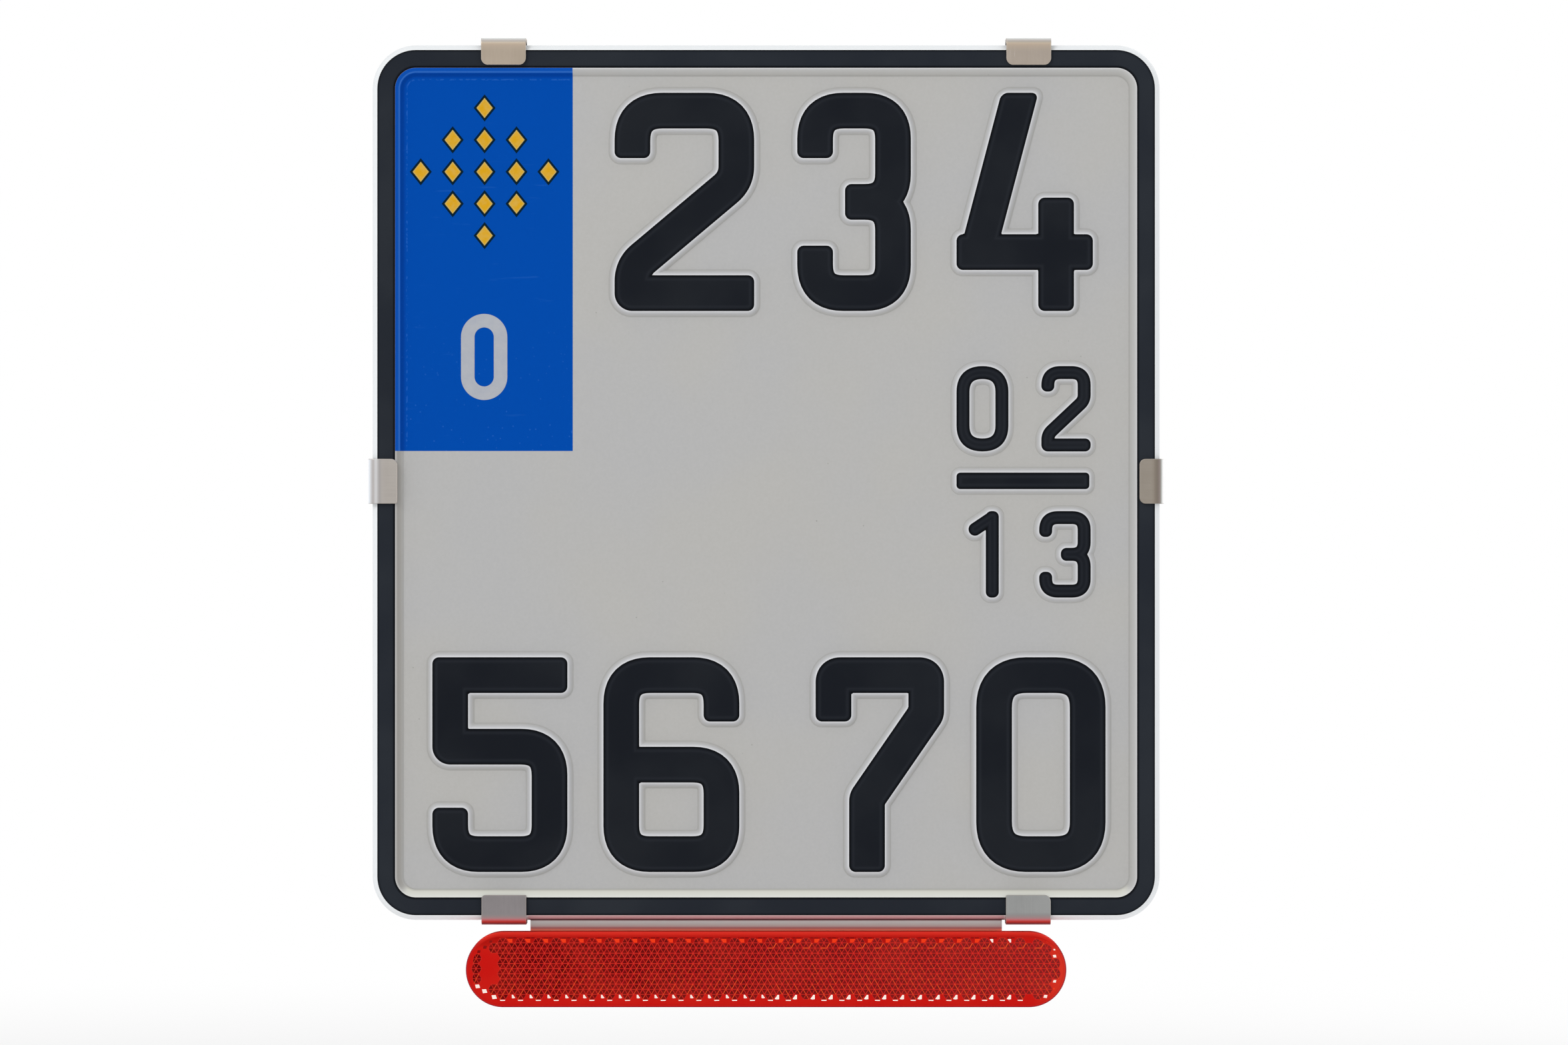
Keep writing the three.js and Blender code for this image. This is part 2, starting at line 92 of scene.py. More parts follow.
# settings and socket numbers that many nodes share
forColours = {'data_type': 'RGBA'}
share, under, over, mixOut = 0, 6, 7, 2  # sockets of a Mix node for colours
smooth = {'interpolation_type': 'SMOOTHSTEP'}
product = {'operation': 'MULTIPLY'}
greater = {'operation': 'MAXIMUM'}


def startMaterial(name, shaderValues):
    # a material with one shader, whose uniform values sit on its own sockets, and its patterns' coordinates
    material = bpy.data.materials.new(name)
    material.use_nodes = True
    tree = material.node_tree
    tree.nodes.clear()
    surface = addNode(tree, 'ShaderNodeBsdfPrincipled', {}, shaderValues)
    addNode(tree, 'ShaderNodeOutputMaterial', {}, {'Surface': surface})
    return material, tree, surface.node.inputs, addNode(tree, 'ShaderNodeTexCoord', out='Object')


def bandsOver(tree, ground, distance, rows, strength=1.0):
    # colours laid over a ground along a distance in mm: rows of place, hex colour and cover, blended in
    # between; a cover that is left out is whole, and each is times a strength that may be a node's output
    low, high = rows[0][0], rows[-1][0]
    along = addNode(tree, 'ShaderNodeMapRange', {}, {'Value': distance, 'From Min': low, 'From Max': high})
    stops = [((place - low) / (high - low), (*toLinear(hexText)[:3], *(cover or [1.0])))
             for place, hexText, *cover in rows]
    ramp = addNode(tree, 'ShaderNodeValToRGB', {}, {'Fac': along}, stops=stops)
    covered = addNode(tree, 'ShaderNodeMath', product, {0: ramp.node.outputs['Alpha'], 1: strength})
    return addNode(tree, 'ShaderNodeMix', forColours, {share: covered, under: ground, over: ramp}, mixOut)


def laidOver(tree, ground, hexText, pattern, start, end, most=1.0, settings=smooth):
    # a colour laid over a ground, which is a hex colour or a node's output, in step with a pattern: none of
    # it where the pattern is at start, and the share called most where it is at end
    amount = addNode(tree, 'ShaderNodeMapRange', settings,
                     {'Value': pattern, 'From Min': start, 'From Max': end, 'To Max': most})
    ground = toLinear(ground) if isinstance(ground, str) else ground
    return addNode(tree, 'ShaderNodeMix', forColours,
                   {share: amount, under: ground, over: toLinear(hexText)}, mixOut)


def specked(tree, ground, hexText, coords, spacing, radii, strength):
    # soft round dots laid over a ground, whole up to the first radius and gone at the second, both in shares
    # of their spacing; their strength is another node's output
    cells = addNode(tree, 'ShaderNodeTexVoronoi', {},
                    {'Vector': coords, 'Scale': perSize(spacing)}, 'Distance')
    dots = addNode(tree, 'ShaderNodeMapRange', smooth,
                   {'Value': cells, 'From Min': radii[0], 'From Max': radii[1], 'To Min': 1, 'To Max': 0})
    dots = addNode(tree, 'ShaderNodeMath', product, {0: dots, 1: strength})
    return laidOver(tree, ground, hexText, dots, 0, 1, settings={})


def gridFaces(rows, columns, closeRows=False, closeColumns=False):
    # quads between neighbouring points of a grid; a closed direction joins its last line to its first
    row, column = np.meshgrid(np.arange(rows - (not closeRows)), np.arange(columns - (not closeColumns)),
                              indexing='ij')
    nextRow = (row + 1) % rows
    nextColumn = (column + 1) % columns
    corners = [row * columns + column, row * columns + nextColumn,
               nextRow * columns + nextColumn, nextRow * columns + column]
    return np.stack(corners, -1).reshape(-1, 4)


def makePiece(name, points, faces, materials, creaseDegrees=30, faceMaterials=None, attributes=()):
    # a closed mesh from points in millimetres; attributes are (name, type, domain, values)
    mesh = bpy.data.meshes.new(name)
    mesh.from_pydata((np.asarray(points) * mm).tolist(), [], [list(map(int, face)) for face in faces])
    for attributeName, kind, domain, values in attributes:
        layer = mesh.attributes.new(attributeName, kind, domain)
        layer.data.foreach_set('color' if kind == 'FLOAT_COLOR' else 'value',
                               np.asarray(values, np.float32).ravel())
    for material in materials:
        mesh.materials.append(material)
    if faceMaterials is not None:
        mesh.polygons.foreach_set('material_index', np.asarray(faceMaterials, np.int32))
    shell = bmesh.new()
    shell.from_mesh(mesh)
    bmesh.ops.recalc_face_normals(shell, faces=shell.faces)
    shell.to_mesh(mesh)
    shell.free()
    mesh.shade_smooth()
    mesh.set_sharp_from_angle(angle=math.radians(creaseDegrees))
    piece = bpy.data.objects.new(name, mesh)
    bpy.context.scene.collection.objects.link(piece)
    return piece


def loftBody(rings):
    # rings of equally many points, joined in turn, with a flat cap at each end, as points and faces
    rings = np.asarray(rings)
    count, around = rings.shape[:2]
    faces = gridFaces(count, around, closeColumns=True).tolist()
    faces.append(list(range(around))[::-1])
    faces.append(list(range((count - 1) * around, count * around)))
    return rings.reshape(-1, 3), faces


def boxOf(node):
    # lowest and highest corner of a CAD node, in millimetres
    low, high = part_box(node)
    return np.array(low) / mm, np.array(high) / mm


# Camera, light and floor
view = dict(
    aim=(4.09, -5.8, -9.42),  # the point of the plate's front that the picture is centred on, mm
    away=1500,  # from that point to the lens, mm
    width=358.7,  # of the plate's front plane that the picture takes in, mm
    clipEnd=20,  # m
    ambient=0.7,
    lamps=[('keyLamp', (-900, -1500, 1050), 11.0, 700), ('fillLamp', (1100, -1300, 100), 2.5, 900),
           ('backLamp', (800, 1500, 900), 9.0, 900)],  # name, place, power and size
    floorHeight=-160,
    floorReach=3000,
    floorFade=(240, 700),  # the floor turns into plain white between these distances, mm
    floorColour='#f4f4f4',
)


def makeCamera():
    # it looks straight at the plate; its lens takes in the picture's width at that distance
    camera = bpy.data.objects.new('camera', bpy.data.cameras.new('camera'))
    x, y, z = view['aim']
    camera.location = (x * mm, (y - view['away']) * mm, z * mm)
    camera.rotation_euler = (math.pi / 2, 0, 0)
    camera.data.lens = camera.data.sensor_width * view['away'] / view['width']
    camera.data.clip_end = view['clipEnd']
    bpy.context.scene.collection.objects.link(camera)
    bpy.context.scene.camera = camera


def addLamp(name, place, power, size):
    # a square soft box at a place in millimetres, turned to the object
    lamp = bpy.data.objects.new(name, bpy.data.lights.new(name, 'AREA'))
    lamp.data.energy = power
    lamp.data.size = size * mm
    lamp.location = Vector(place) * mm
    lamp.rotation_euler = (-lamp.location).to_track_quat('-Z', 'Y').to_euler()
    bpy.context.scene.collection.objects.link(lamp)


def seenDirectly(tree):
    # 1 for rays from the lens and for those that gloss or clear plastic sends on
    path = addNode(tree, 'ShaderNodeLightPath').node.outputs
    either = addNode(tree, 'ShaderNodeMath', greater, {0: path['Is Camera Ray'], 1: path['Is Glossy Ray']})
    return addNode(tree, 'ShaderNodeMath', greater, {0: either, 1: path['Is Transmission Ray']})


def makeWorld():
    # plain white where it is seen, and softer where it only gives light
    world = bpy.data.worlds.new('studio')
    world.use_nodes = True
    tree = world.node_tree
    tree.nodes.clear()
    soft, white = [addNode(tree, 'ShaderNodeBackground', {}, {'Color': (1, 1, 1, 1), 'Strength': strength})
                   for strength in (view['ambient'], 1.0)]
    shown = addNode(tree, 'ShaderNodeMixShader', {}, {0: seenDirectly(tree), 1: soft, 2: white})
    addNode(tree, 'ShaderNodeOutputWorld', {}, {'Surface': shown})
    bpy.context.scene.world = world


def makeFloor():
    # a pale floor that keeps the shadow near the object and turns into the white behind it farther off
    mesh = bpy.data.meshes.new('floor')
    corners = np.array([[-1, -1], [1, -1], [1, 1], [-1, 1]]) * view['floorReach']
    corners = np.column_stack([corners, [view['floorHeight']] * 4]) * mm
    mesh.from_pydata(corners.tolist(), [], [[0, 1, 2, 3]])
    material, tree, inputs, coords = startMaterial(
        'paleFloorPaint', {'Base Color': toLinear(view['floorColour']), 'Roughness': 0.7})
    flat = addNode(tree, 'ShaderNodeVectorMath', product, {0: coords, 1: (1, 1, 0)})
    distance = addNode(tree, 'ShaderNodeVectorMath', {'operation': 'LENGTH'}, {0: flat}, 'Value')
    near, far = view['floorFade']
    fade = addNode(tree, 'ShaderNodeMapRange', smooth,
                   {'Value': distance, 'From Min': near * mm, 'From Max': far * mm})
    fade = addNode(tree, 'ShaderNodeMath', product, {0: fade, 1: seenDirectly(tree)})
    glow = addNode(tree, 'ShaderNodeEmission', {}, {'Color': (1, 1, 1, 1), 'Strength': 1.0})
    painted = inputs['Base Color'].node.outputs[0]
    shown = addNode(tree, 'ShaderNodeMixShader', {}, {0: fade, 1: painted, 2: glow})
    tree.links.new(shown, painted.links[0].to_socket)
    mesh.materials.append(material)
    floor = bpy.data.objects.new('floor', mesh)
    bpy.context.scene.collection.objects.link(floor)


makeCamera()
makeWorld()
makeFloor()
for lamp in view['lamps']:
    addLamp(*lamp)
bpy.context.scene.view_settings.view_transform = 'Standard'
print('camera, light and floor done')


# Number plate
plate = dict(
    cornerRadius=10,
    thickness=1,
    rise=1.5,  # of the rim bead over the field
    outerRun=1.1,
    topWidth=4.1,
    innerRun=1.8,
    bendRadius=0.8,
    cutShare=0.06,  # of the thickness, in from each face, over which the cut edge is broken
    cutBreak=0.03,  # and how far it stands out between
    cornerSteps=16,
    sideSteps=30,
    blueRight=-44.2,  # edges of the blue film, from the plate's middle
    blueBottom=7.2,
    edgeBlur=0.06,  # over which one film's colour turns into the next
    bandEdge=5.22,  # inset at which the black band ends
    blueEdge=5.24,  # and at which the blue film begins
    turnedAway=(-0.95, -0.5),  # a side's flank is shown from the first of these shares of its direction
    cloudSize=40,  # of the patches where the film is warmer, and where it is dirty
    grainSize=0.7,
    speckSpacing=5,
    speckRadii=(0.02, 0.045),
    inkCloud=25,
    scratchDegrees=27,
    scratchWidth=1.1,
    dashes=(7.85, 0.16, 0.8),  # inset of their line, half its width, and their length
    pinholeSpacing=1.6,
    pinholeRadii=(0.06, 0.16),
    pinholesEnd=(12, 50),  # they get fewer between these heights
    rippleSize=1.2,
    rippleDepth=0.004,
    rollWidth=0.5,  # of the streaks on the rolled rear
    aluminium=('#b9babc', '#d3d4d5'),
    white='#b2b2b2',
    whiteWarm='#b4b3b0',
    grain='#c6c6c5',
    speck='#86857f',
    ink=('#24282f', '#2b2f35'),
    blue='#0049a8',
    blueLight='#2f6cc4',
    # by inset from the plate's edge: the white outer flank, the black band, darker at its rounded edges as
    # painted shade, then the flank down to the field, with painted shade in the crease at its foot; both
    # flanks are whiter than the field, partly as stretched film and partly as painted highlight
    bands=[(0.0, '#f4f7f9'), (1.12, '#eceff1'), (1.18, '#07080a'), (1.5, '#14171c', 0.5),
           (1.9, '#24282f', 0.0), (4.5, '#24282f', 0.0), (4.85, '#0b0d11', 0.7), (5.2, '#050608'),
           (5.28, '#d2d2d3'), (5.55, '#c4c4c4', 0.8), (6.3, '#b9b9b7', 0.5), (6.8, '#aaa9a5', 0.4),
           (6.98, '#93928e', 0.55), (7.12, '#a3a29f', 0.3), (7.4, '#b0b0af', 0.0)],
    # the lower flank faces the light from below, and the left one turns away from the lamp
    lowerBands=[(5.22, '#dcdcd6', 0.0), (5.3, '#dedfd9', 0.95), (6.5, '#d8d8ce', 0.9), (6.85, '#c4c3b9', 0.8),
                (7.05, '#a9a8a2', 0.3), (7.4, '#b2b2b2', 0.0)],
    leftBands=[(5.22, '#b6b4b1', 0.0), (5.35, '#b9b7b4', 0.8), (5.8, '#97948f', 0.8), (6.5, '#a09d98', 0.7),
               (7.2, '#b2b2b2', 0.0)],
    # between the bottom clips the outer flank has a painted reflection of the reflector, over painted shade
    # in the gap to the holder's sheet
    redBands=[(0.0, '#361b1f', 0.95), (0.1, '#46262b', 0.95), (0.22, '#77535a', 0.9), (0.38, '#ab8f95', 0.9),
              (0.53, '#d0b0b3', 0.9), (0.7, '#c99fa3', 0.88), (0.95, '#c29a9b', 0.85), (1.12, '#b58a8c', 0.8),
              (1.18, '#07080a', 0.0)],
    redHalfWidth=55,
    # the same for the blue film: a painted highlight along the flank's foot and painted shade in the
    # hollow beyond
    blueBands=[(5.2, '#0d50b2', 0.8), (5.9, '#1459bb', 0.9), (6.15, '#3d78cc', 0.9), (6.35, '#0f52b3', 0.8),
               (6.5, '#023c95', 0.8), (7.4, '#033f9b', 0.6), (7.8, '#0049a8', 0.0)],
)
plateLow, plateHigh = boxOf('number_plate')
plateMiddle = (plateLow + plateHigh) / 2
fieldFront = plateHigh[1] - plate['thickness']  # y of the field's front face
filmValues = {'Roughness': 0.5, 'Specular IOR Level': 0.02, 'IOR': 1.5}


def arcPath(corners, radius, steps=6):
    # a polyline whose inner corners are replaced by short parabolic bends, tangent to both sides
    corners = np.asarray(corners, float)
    path = [corners[:1]]
    part = np.linspace(0, 1, steps + 1)[:, None]
    for before, corner, after in zip(corners[:-2], corners[1:-1], corners[2:]):
        toBefore = (before - corner) / np.linalg.norm(before - corner)
        toAfter = (after - corner) / np.linalg.norm(after - corner)
        setback = radius / math.tan(math.acos(float(toBefore @ toAfter)) / 2)
        start = corner + toBefore * setback
        end = corner + toAfter * setback
        path.append((1 - part) ** 2 * start + 2 * part * (1 - part) * corner + part ** 2 * end)
    path.append(corners[-1:])
    return np.concatenate(path)


def besidePath(path, distance):
    # the path moved to its left by a distance, along the mean normal at each point
    steps = np.diff(path, axis=0)
    steps /= np.linalg.norm(steps, axis=1)[:, None]
    before = np.vstack([steps[:1], steps])
    after = np.vstack([steps, steps[-1:]])
    heading = before + after
    heading /= np.linalg.norm(heading, axis=1)[:, None]
    stretch = 1 / np.sum(heading * before, axis=1)
    return path + np.column_stack([-heading[:, 1], heading[:, 0]]) * (distance * stretch)[:, None]


def roundedOutline(halfWidth, halfHeight, radius, cornerSteps, sideSteps):
    # arc centres and directions along a rounded rectangle; a point is centre + (radius - inset) * direction
    centres = []
    directions = []
    corners = [(1, 1), (-1, 1), (-1, -1), (1, -1)]
    sideShare = np.linspace(0, 1, sideSteps + 1)[1:-1, None]
    for quarter, (sideX, sideZ) in enumerate(corners):
        here = np.array([sideX * (halfWidth - radius), sideZ * (halfHeight - radius)])
        nextX, nextZ = corners[(quarter + 1) % 4]
        there = np.array([nextX * (halfWidth - radius), nextZ * (halfHeight - radius)])
        angle = np.pi / 2 * (quarter + np.linspace(0, 1, cornerSteps + 1))
        centres += [np.tile(here, (cornerSteps + 1, 1)), here + (there - here) * sideShare]
        along = np.column_stack([np.cos(angle), np.sin(angle)])
        directions += [along, np.tile(along[-1], (len(sideShare), 1))]
    return np.concatenate(centres), np.concatenate(directions)


def ringsAlong(outline, radius, profile, middle):
    # one ring for each (inset, y) of the profile, round an outline that stands in x and z
    centres, directions = outline
    profile = np.asarray(profile)
    flat = centres[None] + (radius - profile[:, :1, None]) * directions[None]
    depth = np.broadcast_to(profile[:, 1:2], flat.shape[:2])
    return np.stack([flat[..., 0] + middle[0], depth, flat[..., 1] + middle[2]], -1)


def filmColour(tree, coords):
    # white sheeting, a little warm in places, finely grained, with a few specks of dirt
    cloud, grain = [
        addNode(tree, 'ShaderNodeTexNoise', {}, {'Vector': coords, 'Scale': perSize(size), 'Detail': detail})
        for size, detail in ((plate['cloudSize'], 2), (plate['grainSize'], 3))]
    white = laidOver(tree, plate['white'], plate['whiteWarm'], cloud, 0.35, 0.65)
    white = laidOver(tree, white, plate['grain'], grain, 0.3, 0.8, 0.16, {})
    places = addNode(tree, 'ShaderNodeMapRange', {},
                     {'Value': cloud, 'From Min': 0.48, 'From Max': 0.56, 'To Max': 0.6})
    return specked(tree, white, plate['speck'], coords, plate['speckSpacing'], plate['speckRadii'], places)


def inkColour(tree, coords, colourPair):
    # black printing ink, rolled on a little thinner in places
    cloud = addNode(tree, 'ShaderNodeTexNoise', {},
                    {'Vector': coords, 'Scale': perSize(plate['inkCloud']), 'Detail': 3})
    return laidOver(tree, *colourPair, cloud, 0.35, 0.7)


def blueColour(tree, coords, inset):
    # blue translucent film: a painted highlight along the pressed flank and painted shade beyond it,
    # with dashes where the roller skipped beside it, short slanting scratches, and pinholes low down
    worn = addNode(tree, 'ShaderNodeMapping', {}, {
        'Vector': coords, 'Rotation': (0, math.radians(plate['scratchDegrees']), 0), 'Scale': (0.12, 1, 1)})
    scratches = addNode(tree, 'ShaderNodeTexNoise', {},
                        {'Vector': worn, 'Scale': perSize(plate['scratchWidth']), 'Detail': 2})
    blue = laidOver(tree, plate['blue'], plate['blueLight'], scratches, 0.67, 0.78, 0.16)
    blue = bandsOver(tree, blue, inset, plate['blueBands'])
    line, halfWidth, length = plate['dashes']
    skipped = addNode(tree, 'ShaderNodeTexNoise', {},
                      {'Vector': coords, 'Scale': perSize(length), 'Detail': 2})
    near = addNode(tree, 'ShaderNodeMath', {'operation': 'COMPARE'}, {0: inset, 1: line, 2: halfWidth})
    dashes = addNode(tree, 'ShaderNodeMapRange', smooth,
                     {'Value': skipped, 'From Min': 0.47, 'From Max': 0.6, 'To Max': 0.4})
    dashes = addNode(tree, 'ShaderNodeMath', product, {0: near, 1: dashes})
    blue = laidOver(tree, blue, plate['blueLight'], dashes, 0, 1, settings={})
    height = addNode(tree, 'ShaderNodeSeparateXYZ', {}, {0: coords}, 'Z')
    low, high = plate['pinholesEnd']
    fewer = addNode(tree, 'ShaderNodeMapRange', smooth, {
        'Value': height, 'From Min': low * mm, 'From Max': high * mm, 'To Min': 0.4, 'To Max': 0})
    spacing, radii = plate['pinholeSpacing'], plate['pinholeRadii']
    return specked(tree, blue, plate['blueLight'], coords, spacing, radii, fewer)


def orangePeel(tree, coords, inputs):
    # the fine ripple of film that was pressed on with a roller
    ripple = addNode(tree, 'ShaderNodeTexNoise', {},
                     {'Vector': coords, 'Scale': perSize(plate['rippleSize']), 'Detail': 2})
    bump = addNode(tree, 'ShaderNodeBump', {}, {'Height': ripple, 'Distance': plate['rippleDepth'] * mm})
    tree.links.new(bump, inputs['Normal'])


def plateFilm():
    # retroreflective sheeting on pressed aluminium: matt grey-white, whiter where the press has stretched it,
    # with painted highlights and shade on the flanks, and a painted reflection of the reflector low down
    material, tree, inputs, coords = startMaterial('retroreflectiveSheeting', filmValues)
    inset, upward, rightward = [addNode(tree, 'ShaderNodeAttribute', {'attribute_name': name}, out='Fac')
                                for name in ('inset', 'upward', 'rightward')]
    axes = addNode(tree, 'ShaderNodeSeparateXYZ', {}, {0: coords}).node.outputs
    onBand, beyondBand = [addNode(tree, 'ShaderNodeMath', {'operation': side}, {0: inset, 1: plate[edge]})
                          for side, edge in (('LESS_THAN', 'bandEdge'), ('GREATER_THAN', 'blueEdge'))]
    ink = inkColour(tree, coords, plate['ink'])
    ground = addNode(tree, 'ShaderNodeMix', forColours,
                     {share: onBand, under: filmColour(tree, coords), over: ink}, mixOut)
    ground = bandsOver(tree, ground, inset, plate['bands'])
    first, last = plate['turnedAway']
    lower, onLeft = [addNode(tree, 'ShaderNodeMapRange', smooth, {
        'Value': side, 'From Min': first, 'From Max': last, 'To Min': 1, 'To Max': 0})
        for side in (upward, rightward)]
    ground = bandsOver(tree, ground, inset, plate['lowerBands'], lower)
    ground = bandsOver(tree, ground, inset, plate['leftBands'], onLeft)
    # painted reflection of the reflector and painted shade of the gap, low on the outer flank
    fromMiddle = addNode(tree, 'ShaderNodeMath', {'operation': 'ABSOLUTE'}, {0: axes['X']})
    edge = plate['redHalfWidth'] * mm
    overSheet = addNode(tree, 'ShaderNodeMapRange', smooth, {
        'Value': fromMiddle, 'From Min': edge - mm, 'From Max': edge, 'To Min': 1, 'To Max': 0})
    mirrored = addNode(tree, 'ShaderNodeMath', product, {0: lower, 1: overSheet})
    ground = bandsOver(tree, ground, inset, plate['redBands'], mirrored)
    blur = plate['edgeBlur'] * mm
    right = (plateMiddle[0] + plate['blueRight']) * mm
    bottom = (plateMiddle[2] + plate['blueBottom']) * mm
    left = addNode(tree, 'ShaderNodeMapRange', {}, {
        'Value': axes['X'], 'From Min': right - blur, 'From Max': right, 'To Min': 1, 'To Max': 0})
    top = addNode(tree, 'ShaderNodeMapRange', {},
                  {'Value': axes['Z'], 'From Min': bottom, 'From Max': bottom + blur})
    blueArea = addNode(tree, 'ShaderNodeMath', product, {0: left, 1: top})
    blueArea = addNode(tree, 'ShaderNodeMath', product, {0: blueArea, 1: beyondBand})
    colour = addNode(tree, 'ShaderNodeMix', forColours,
                     {share: blueArea, under: ground, over: blueColour(tree, coords, inset)}, mixOut)
    tree.links.new(colour, inputs['Base Color'])
    orangePeel(tree, coords, inputs)
    return material


def bareAluminium():
    # rolled aluminium as it comes from the mill: pale, softly streaked along the roll
    material, tree, inputs, coords = startMaterial('milledAluminium', {'Metallic': 1.0})
    along = addNode(tree, 'ShaderNodeMapping', {}, {'Vector': coords, 'Scale': (0.06, 1, 1)})
    streaks = addNode(tree, 'ShaderNodeTexNoise', {},
                      {'Vector': along, 'Scale': perSize(plate['rollWidth']), 'Detail': 3})
    tree.links.new(laidOver(tree, *plate['aluminium'], streaks, 0, 1, settings={}), inputs['Base Color'])
    sheen = addNode(tree, 'ShaderNodeMapRange', {},
                    {'Value': streaks, 'From Min': 0.3, 'From Max': 0.7, 'To Min': 0.34, 'To Max': 0.5})
    tree.links.new(sheen, inputs['Roughness'])
    return material


def makePlate():
    # the sheet's section, from its edge over the rim bead to the field, carried round the plate's outline
    half = plate['thickness'] / 2
    middleY = plateHigh[1] - half
    slope = math.atan2(plate['rise'], plate['outerRun'])
    topEnd = plate['outerRun'] + plate['topWidth']
    section = arcPath([
        (half * math.sin(slope), 0),
        (plate['outerRun'] + half * math.tan(slope / 2), plate['rise']),
        (topEnd, plate['rise']),
        (topEnd + plate['innerRun'], 0),
        (topEnd + plate['innerRun'] * 2, 0),
    ], plate['bendRadius'])
    front = besidePath(section, half)
    back = besidePath(section, -half)[::-1]
    near = plate['cutShare']
    edge = np.array([back[-1] * (1 - near) + front[0] * near, back[-1] * near + front[0] * (1 - near)])
    edge[:, 0] -= plate['cutBreak']
    profile = np.concatenate([back, edge, front])
    profile[:, 0] = np.maximum(profile[:, 0], 0)
    size = (plateHigh - plateLow) / 2
    outline = roundedOutline(size[0], size[2], plate['cornerRadius'], plate['cornerSteps'],
                             plate['sideSteps'])
    depths = np.column_stack([profile[:, 0], middleY - profile[:, 1]])
    rings = ringsAlong(outline, plate['cornerRadius'], depths, plateMiddle)
    points, faces = loftBody(rings)
    around = rings.shape[1]
    inset = np.repeat(profile[:, 0], around)
    rightward, upward = np.tile(outline[1], (len(rings), 1)).T
    isFront = np.arange(len(rings) - 1) >= len(back) + 1
    faceMaterials = np.concatenate([np.repeat(np.where(isFront, 0, 1), around), [1, 0]])
    along = {'inset': inset, 'upward': upward, 'rightward': rightward}
    piece = makePiece('pressed_plate', points, faces, [plateFilm(), bareAluminium()], 40,
                      faceMaterials, [(name, 'FLOAT', 'POINT', values) for name, values in along.items()])
    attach(piece, 'root')
    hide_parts('number_plate')


makePlate()
print('plate done')


# Raised characters
characters = dict(
    topRow=[('2', -34.65, -2.7), ('3', 7.1, 33.1), ('4', 43.5, 74.7)],  # digit, left and right edge
    topRowHeights=(39.2, 89.1),
    bottomRow=[('5', -76.3, -45.4), ('6', -37.2, -6.1), ('7', 11.3, 40.7), ('0', 48.0, 77.6)],
    bottomRowHeights=(-89.0, -39.9),
    smallBlock=[('0', 43.5, 55.4, 7.1, 26.65), ('2', 62.9, 74.2, 7.1, 26.65),
                ('1', 46.4, 53.2, -26.3, -6.5), ('3', 62.4, 74.2, -26.3, -6.5)],
    smallBar=(43.5, 73.9, -1.5, 2.3),
    barCorner=0.9,
    # width of the stroke, radius of its corners and, in half strokes, of its bends, height, run of the flank,
    # and step of the grid
    large=dict(stroke=8.2, corner=1.5, roundness=1.8, rise=1.5, flank=1.4, step=0.4),
    small=dict(stroke=3.0, corner=1.3, roundness=3.0, rise=1.3, flank=1.3, step=0.24),
    shoulder=0.2,  # from the ink's edge in, where the flank's round begins
    sunk=0.12,  # depth of a character's body in the sheet
    lipDrop=0.2,  # how far its outermost edge dips under the sheet's face
    ink=('#191c22', '#202328'),
    # by distance from the ink's edge, below zero inside: a painted highlight on the ridge and painted shade
    # on the black edge of the ink, the bright flank, whiter partly as stretched film and partly as painted
    # highlight, and painted shade at its foot
    bands=[(-1.6, '#1e2127', 0.0), (-1.0, '#2a2d33', 0.5), (-0.65, '#202329', 0.5), (-0.4, '#101216', 0.8),
           (-0.03, '#08090b'), (0.03, '#dcdde0'), (0.25, '#d4d5d8', 0.9), (0.7, '#c3c4c7', 0.6),
           (1.05, '#b2b2b1', 0.4), (1.22, '#9b9a97', 0.6), (1.4, '#a8a7a4', 0.4), (1.7, '#b0b0af', 0.0)],
)


def strokesOf(digit, width, height, half, roundness):
    # middle lines of a digit's strokes in a box of this size, each as its corners, the radius of its bends,
    # and whether its start and its end are cut square; a line that runs out of the box is cut by its side
    right = width - half
    top = height - half
    middle = height / 2
    hook = height * 0.7
    ring = min(right / 2 - half / 2, half * roundness)
    bend = min(ring, top - hook - half)
    waist = width * 0.42
    shapes = {
        '0': [([(half, middle), (half, top), (right, top), (right, half), (half, half), (half, middle)],
               ring, False, False)],
        '1': [([(right, -half), (right, height + half)], 0, False, False),
              ([(half * 0.9, height * 0.79), (right, top)], 0, False, False)],
        '2': [([(half, hook), (half, top), (right, top), (right, height * 0.6), (half, height * 0.2),
                (half, half)], bend, True, False),
              ([(half, half), (width + half, half)], 0, False, False)],
        '3': [([(half, start), (half, end), (right, end), (right, middle), (waist, middle)],
               bend * 0.95, True, True) for start, end in ((hook, top), (height - hook, half))],
        '4': [([(width * 0.5, height + half), (half * 1.2, height * 0.27)], 0, False, False),
              ([(-half, height * 0.27), (width + half, height * 0.27)], 0, False, False),
              ([(width * 0.73, -half), (width * 0.73, height * 0.52)], 0, False, True)],
        '5': [([(-half, top), (width + half, top)], 0, False, False),
              ([(half, top), (half, middle + half)], 0, False, False),
              ([(half, middle + half), (right, middle + half), (right, half), (half, half),
                (half, height - hook)], bend, False, True)],
        '6': [([(right, hook), (right, top), (half, top), (half, half), (right, half), (right, middle),
                (half * 1.5, middle)], bend, True, False)],
        '7': [([(half, hook), (half, top), (right, top), (right, height * 0.74), (width * 0.4, height * 0.34),
                (width * 0.4, -half)], half * 0.4, True, False)],
    }
    return [(arcPath(corners, radius, 10), cutStart, cutEnd)
            for corners, radius, cutStart, cutEnd in shapes[digit]]


def roundMax(first, second):
    # distance to what two shapes share, with round corners outside
    outside = np.hypot(np.maximum(first, 0), np.maximum(second, 0))
    return np.minimum(np.maximum(first, second), 0) + outside


def pathDistance(path, x, z):
    # least distance from each point to the straight pieces of a path
    spot = np.stack([x, z], -1)[..., None, :]
    start = path[:-1]
    along = path[1:] - start
    part = np.clip(np.sum((spot - start) * along, -1) / np.maximum(np.sum(along ** 2, -1), 1e-9), 0, 1)
    return np.linalg.norm(spot - start - part[..., None] * along, axis=-1).min(-1)


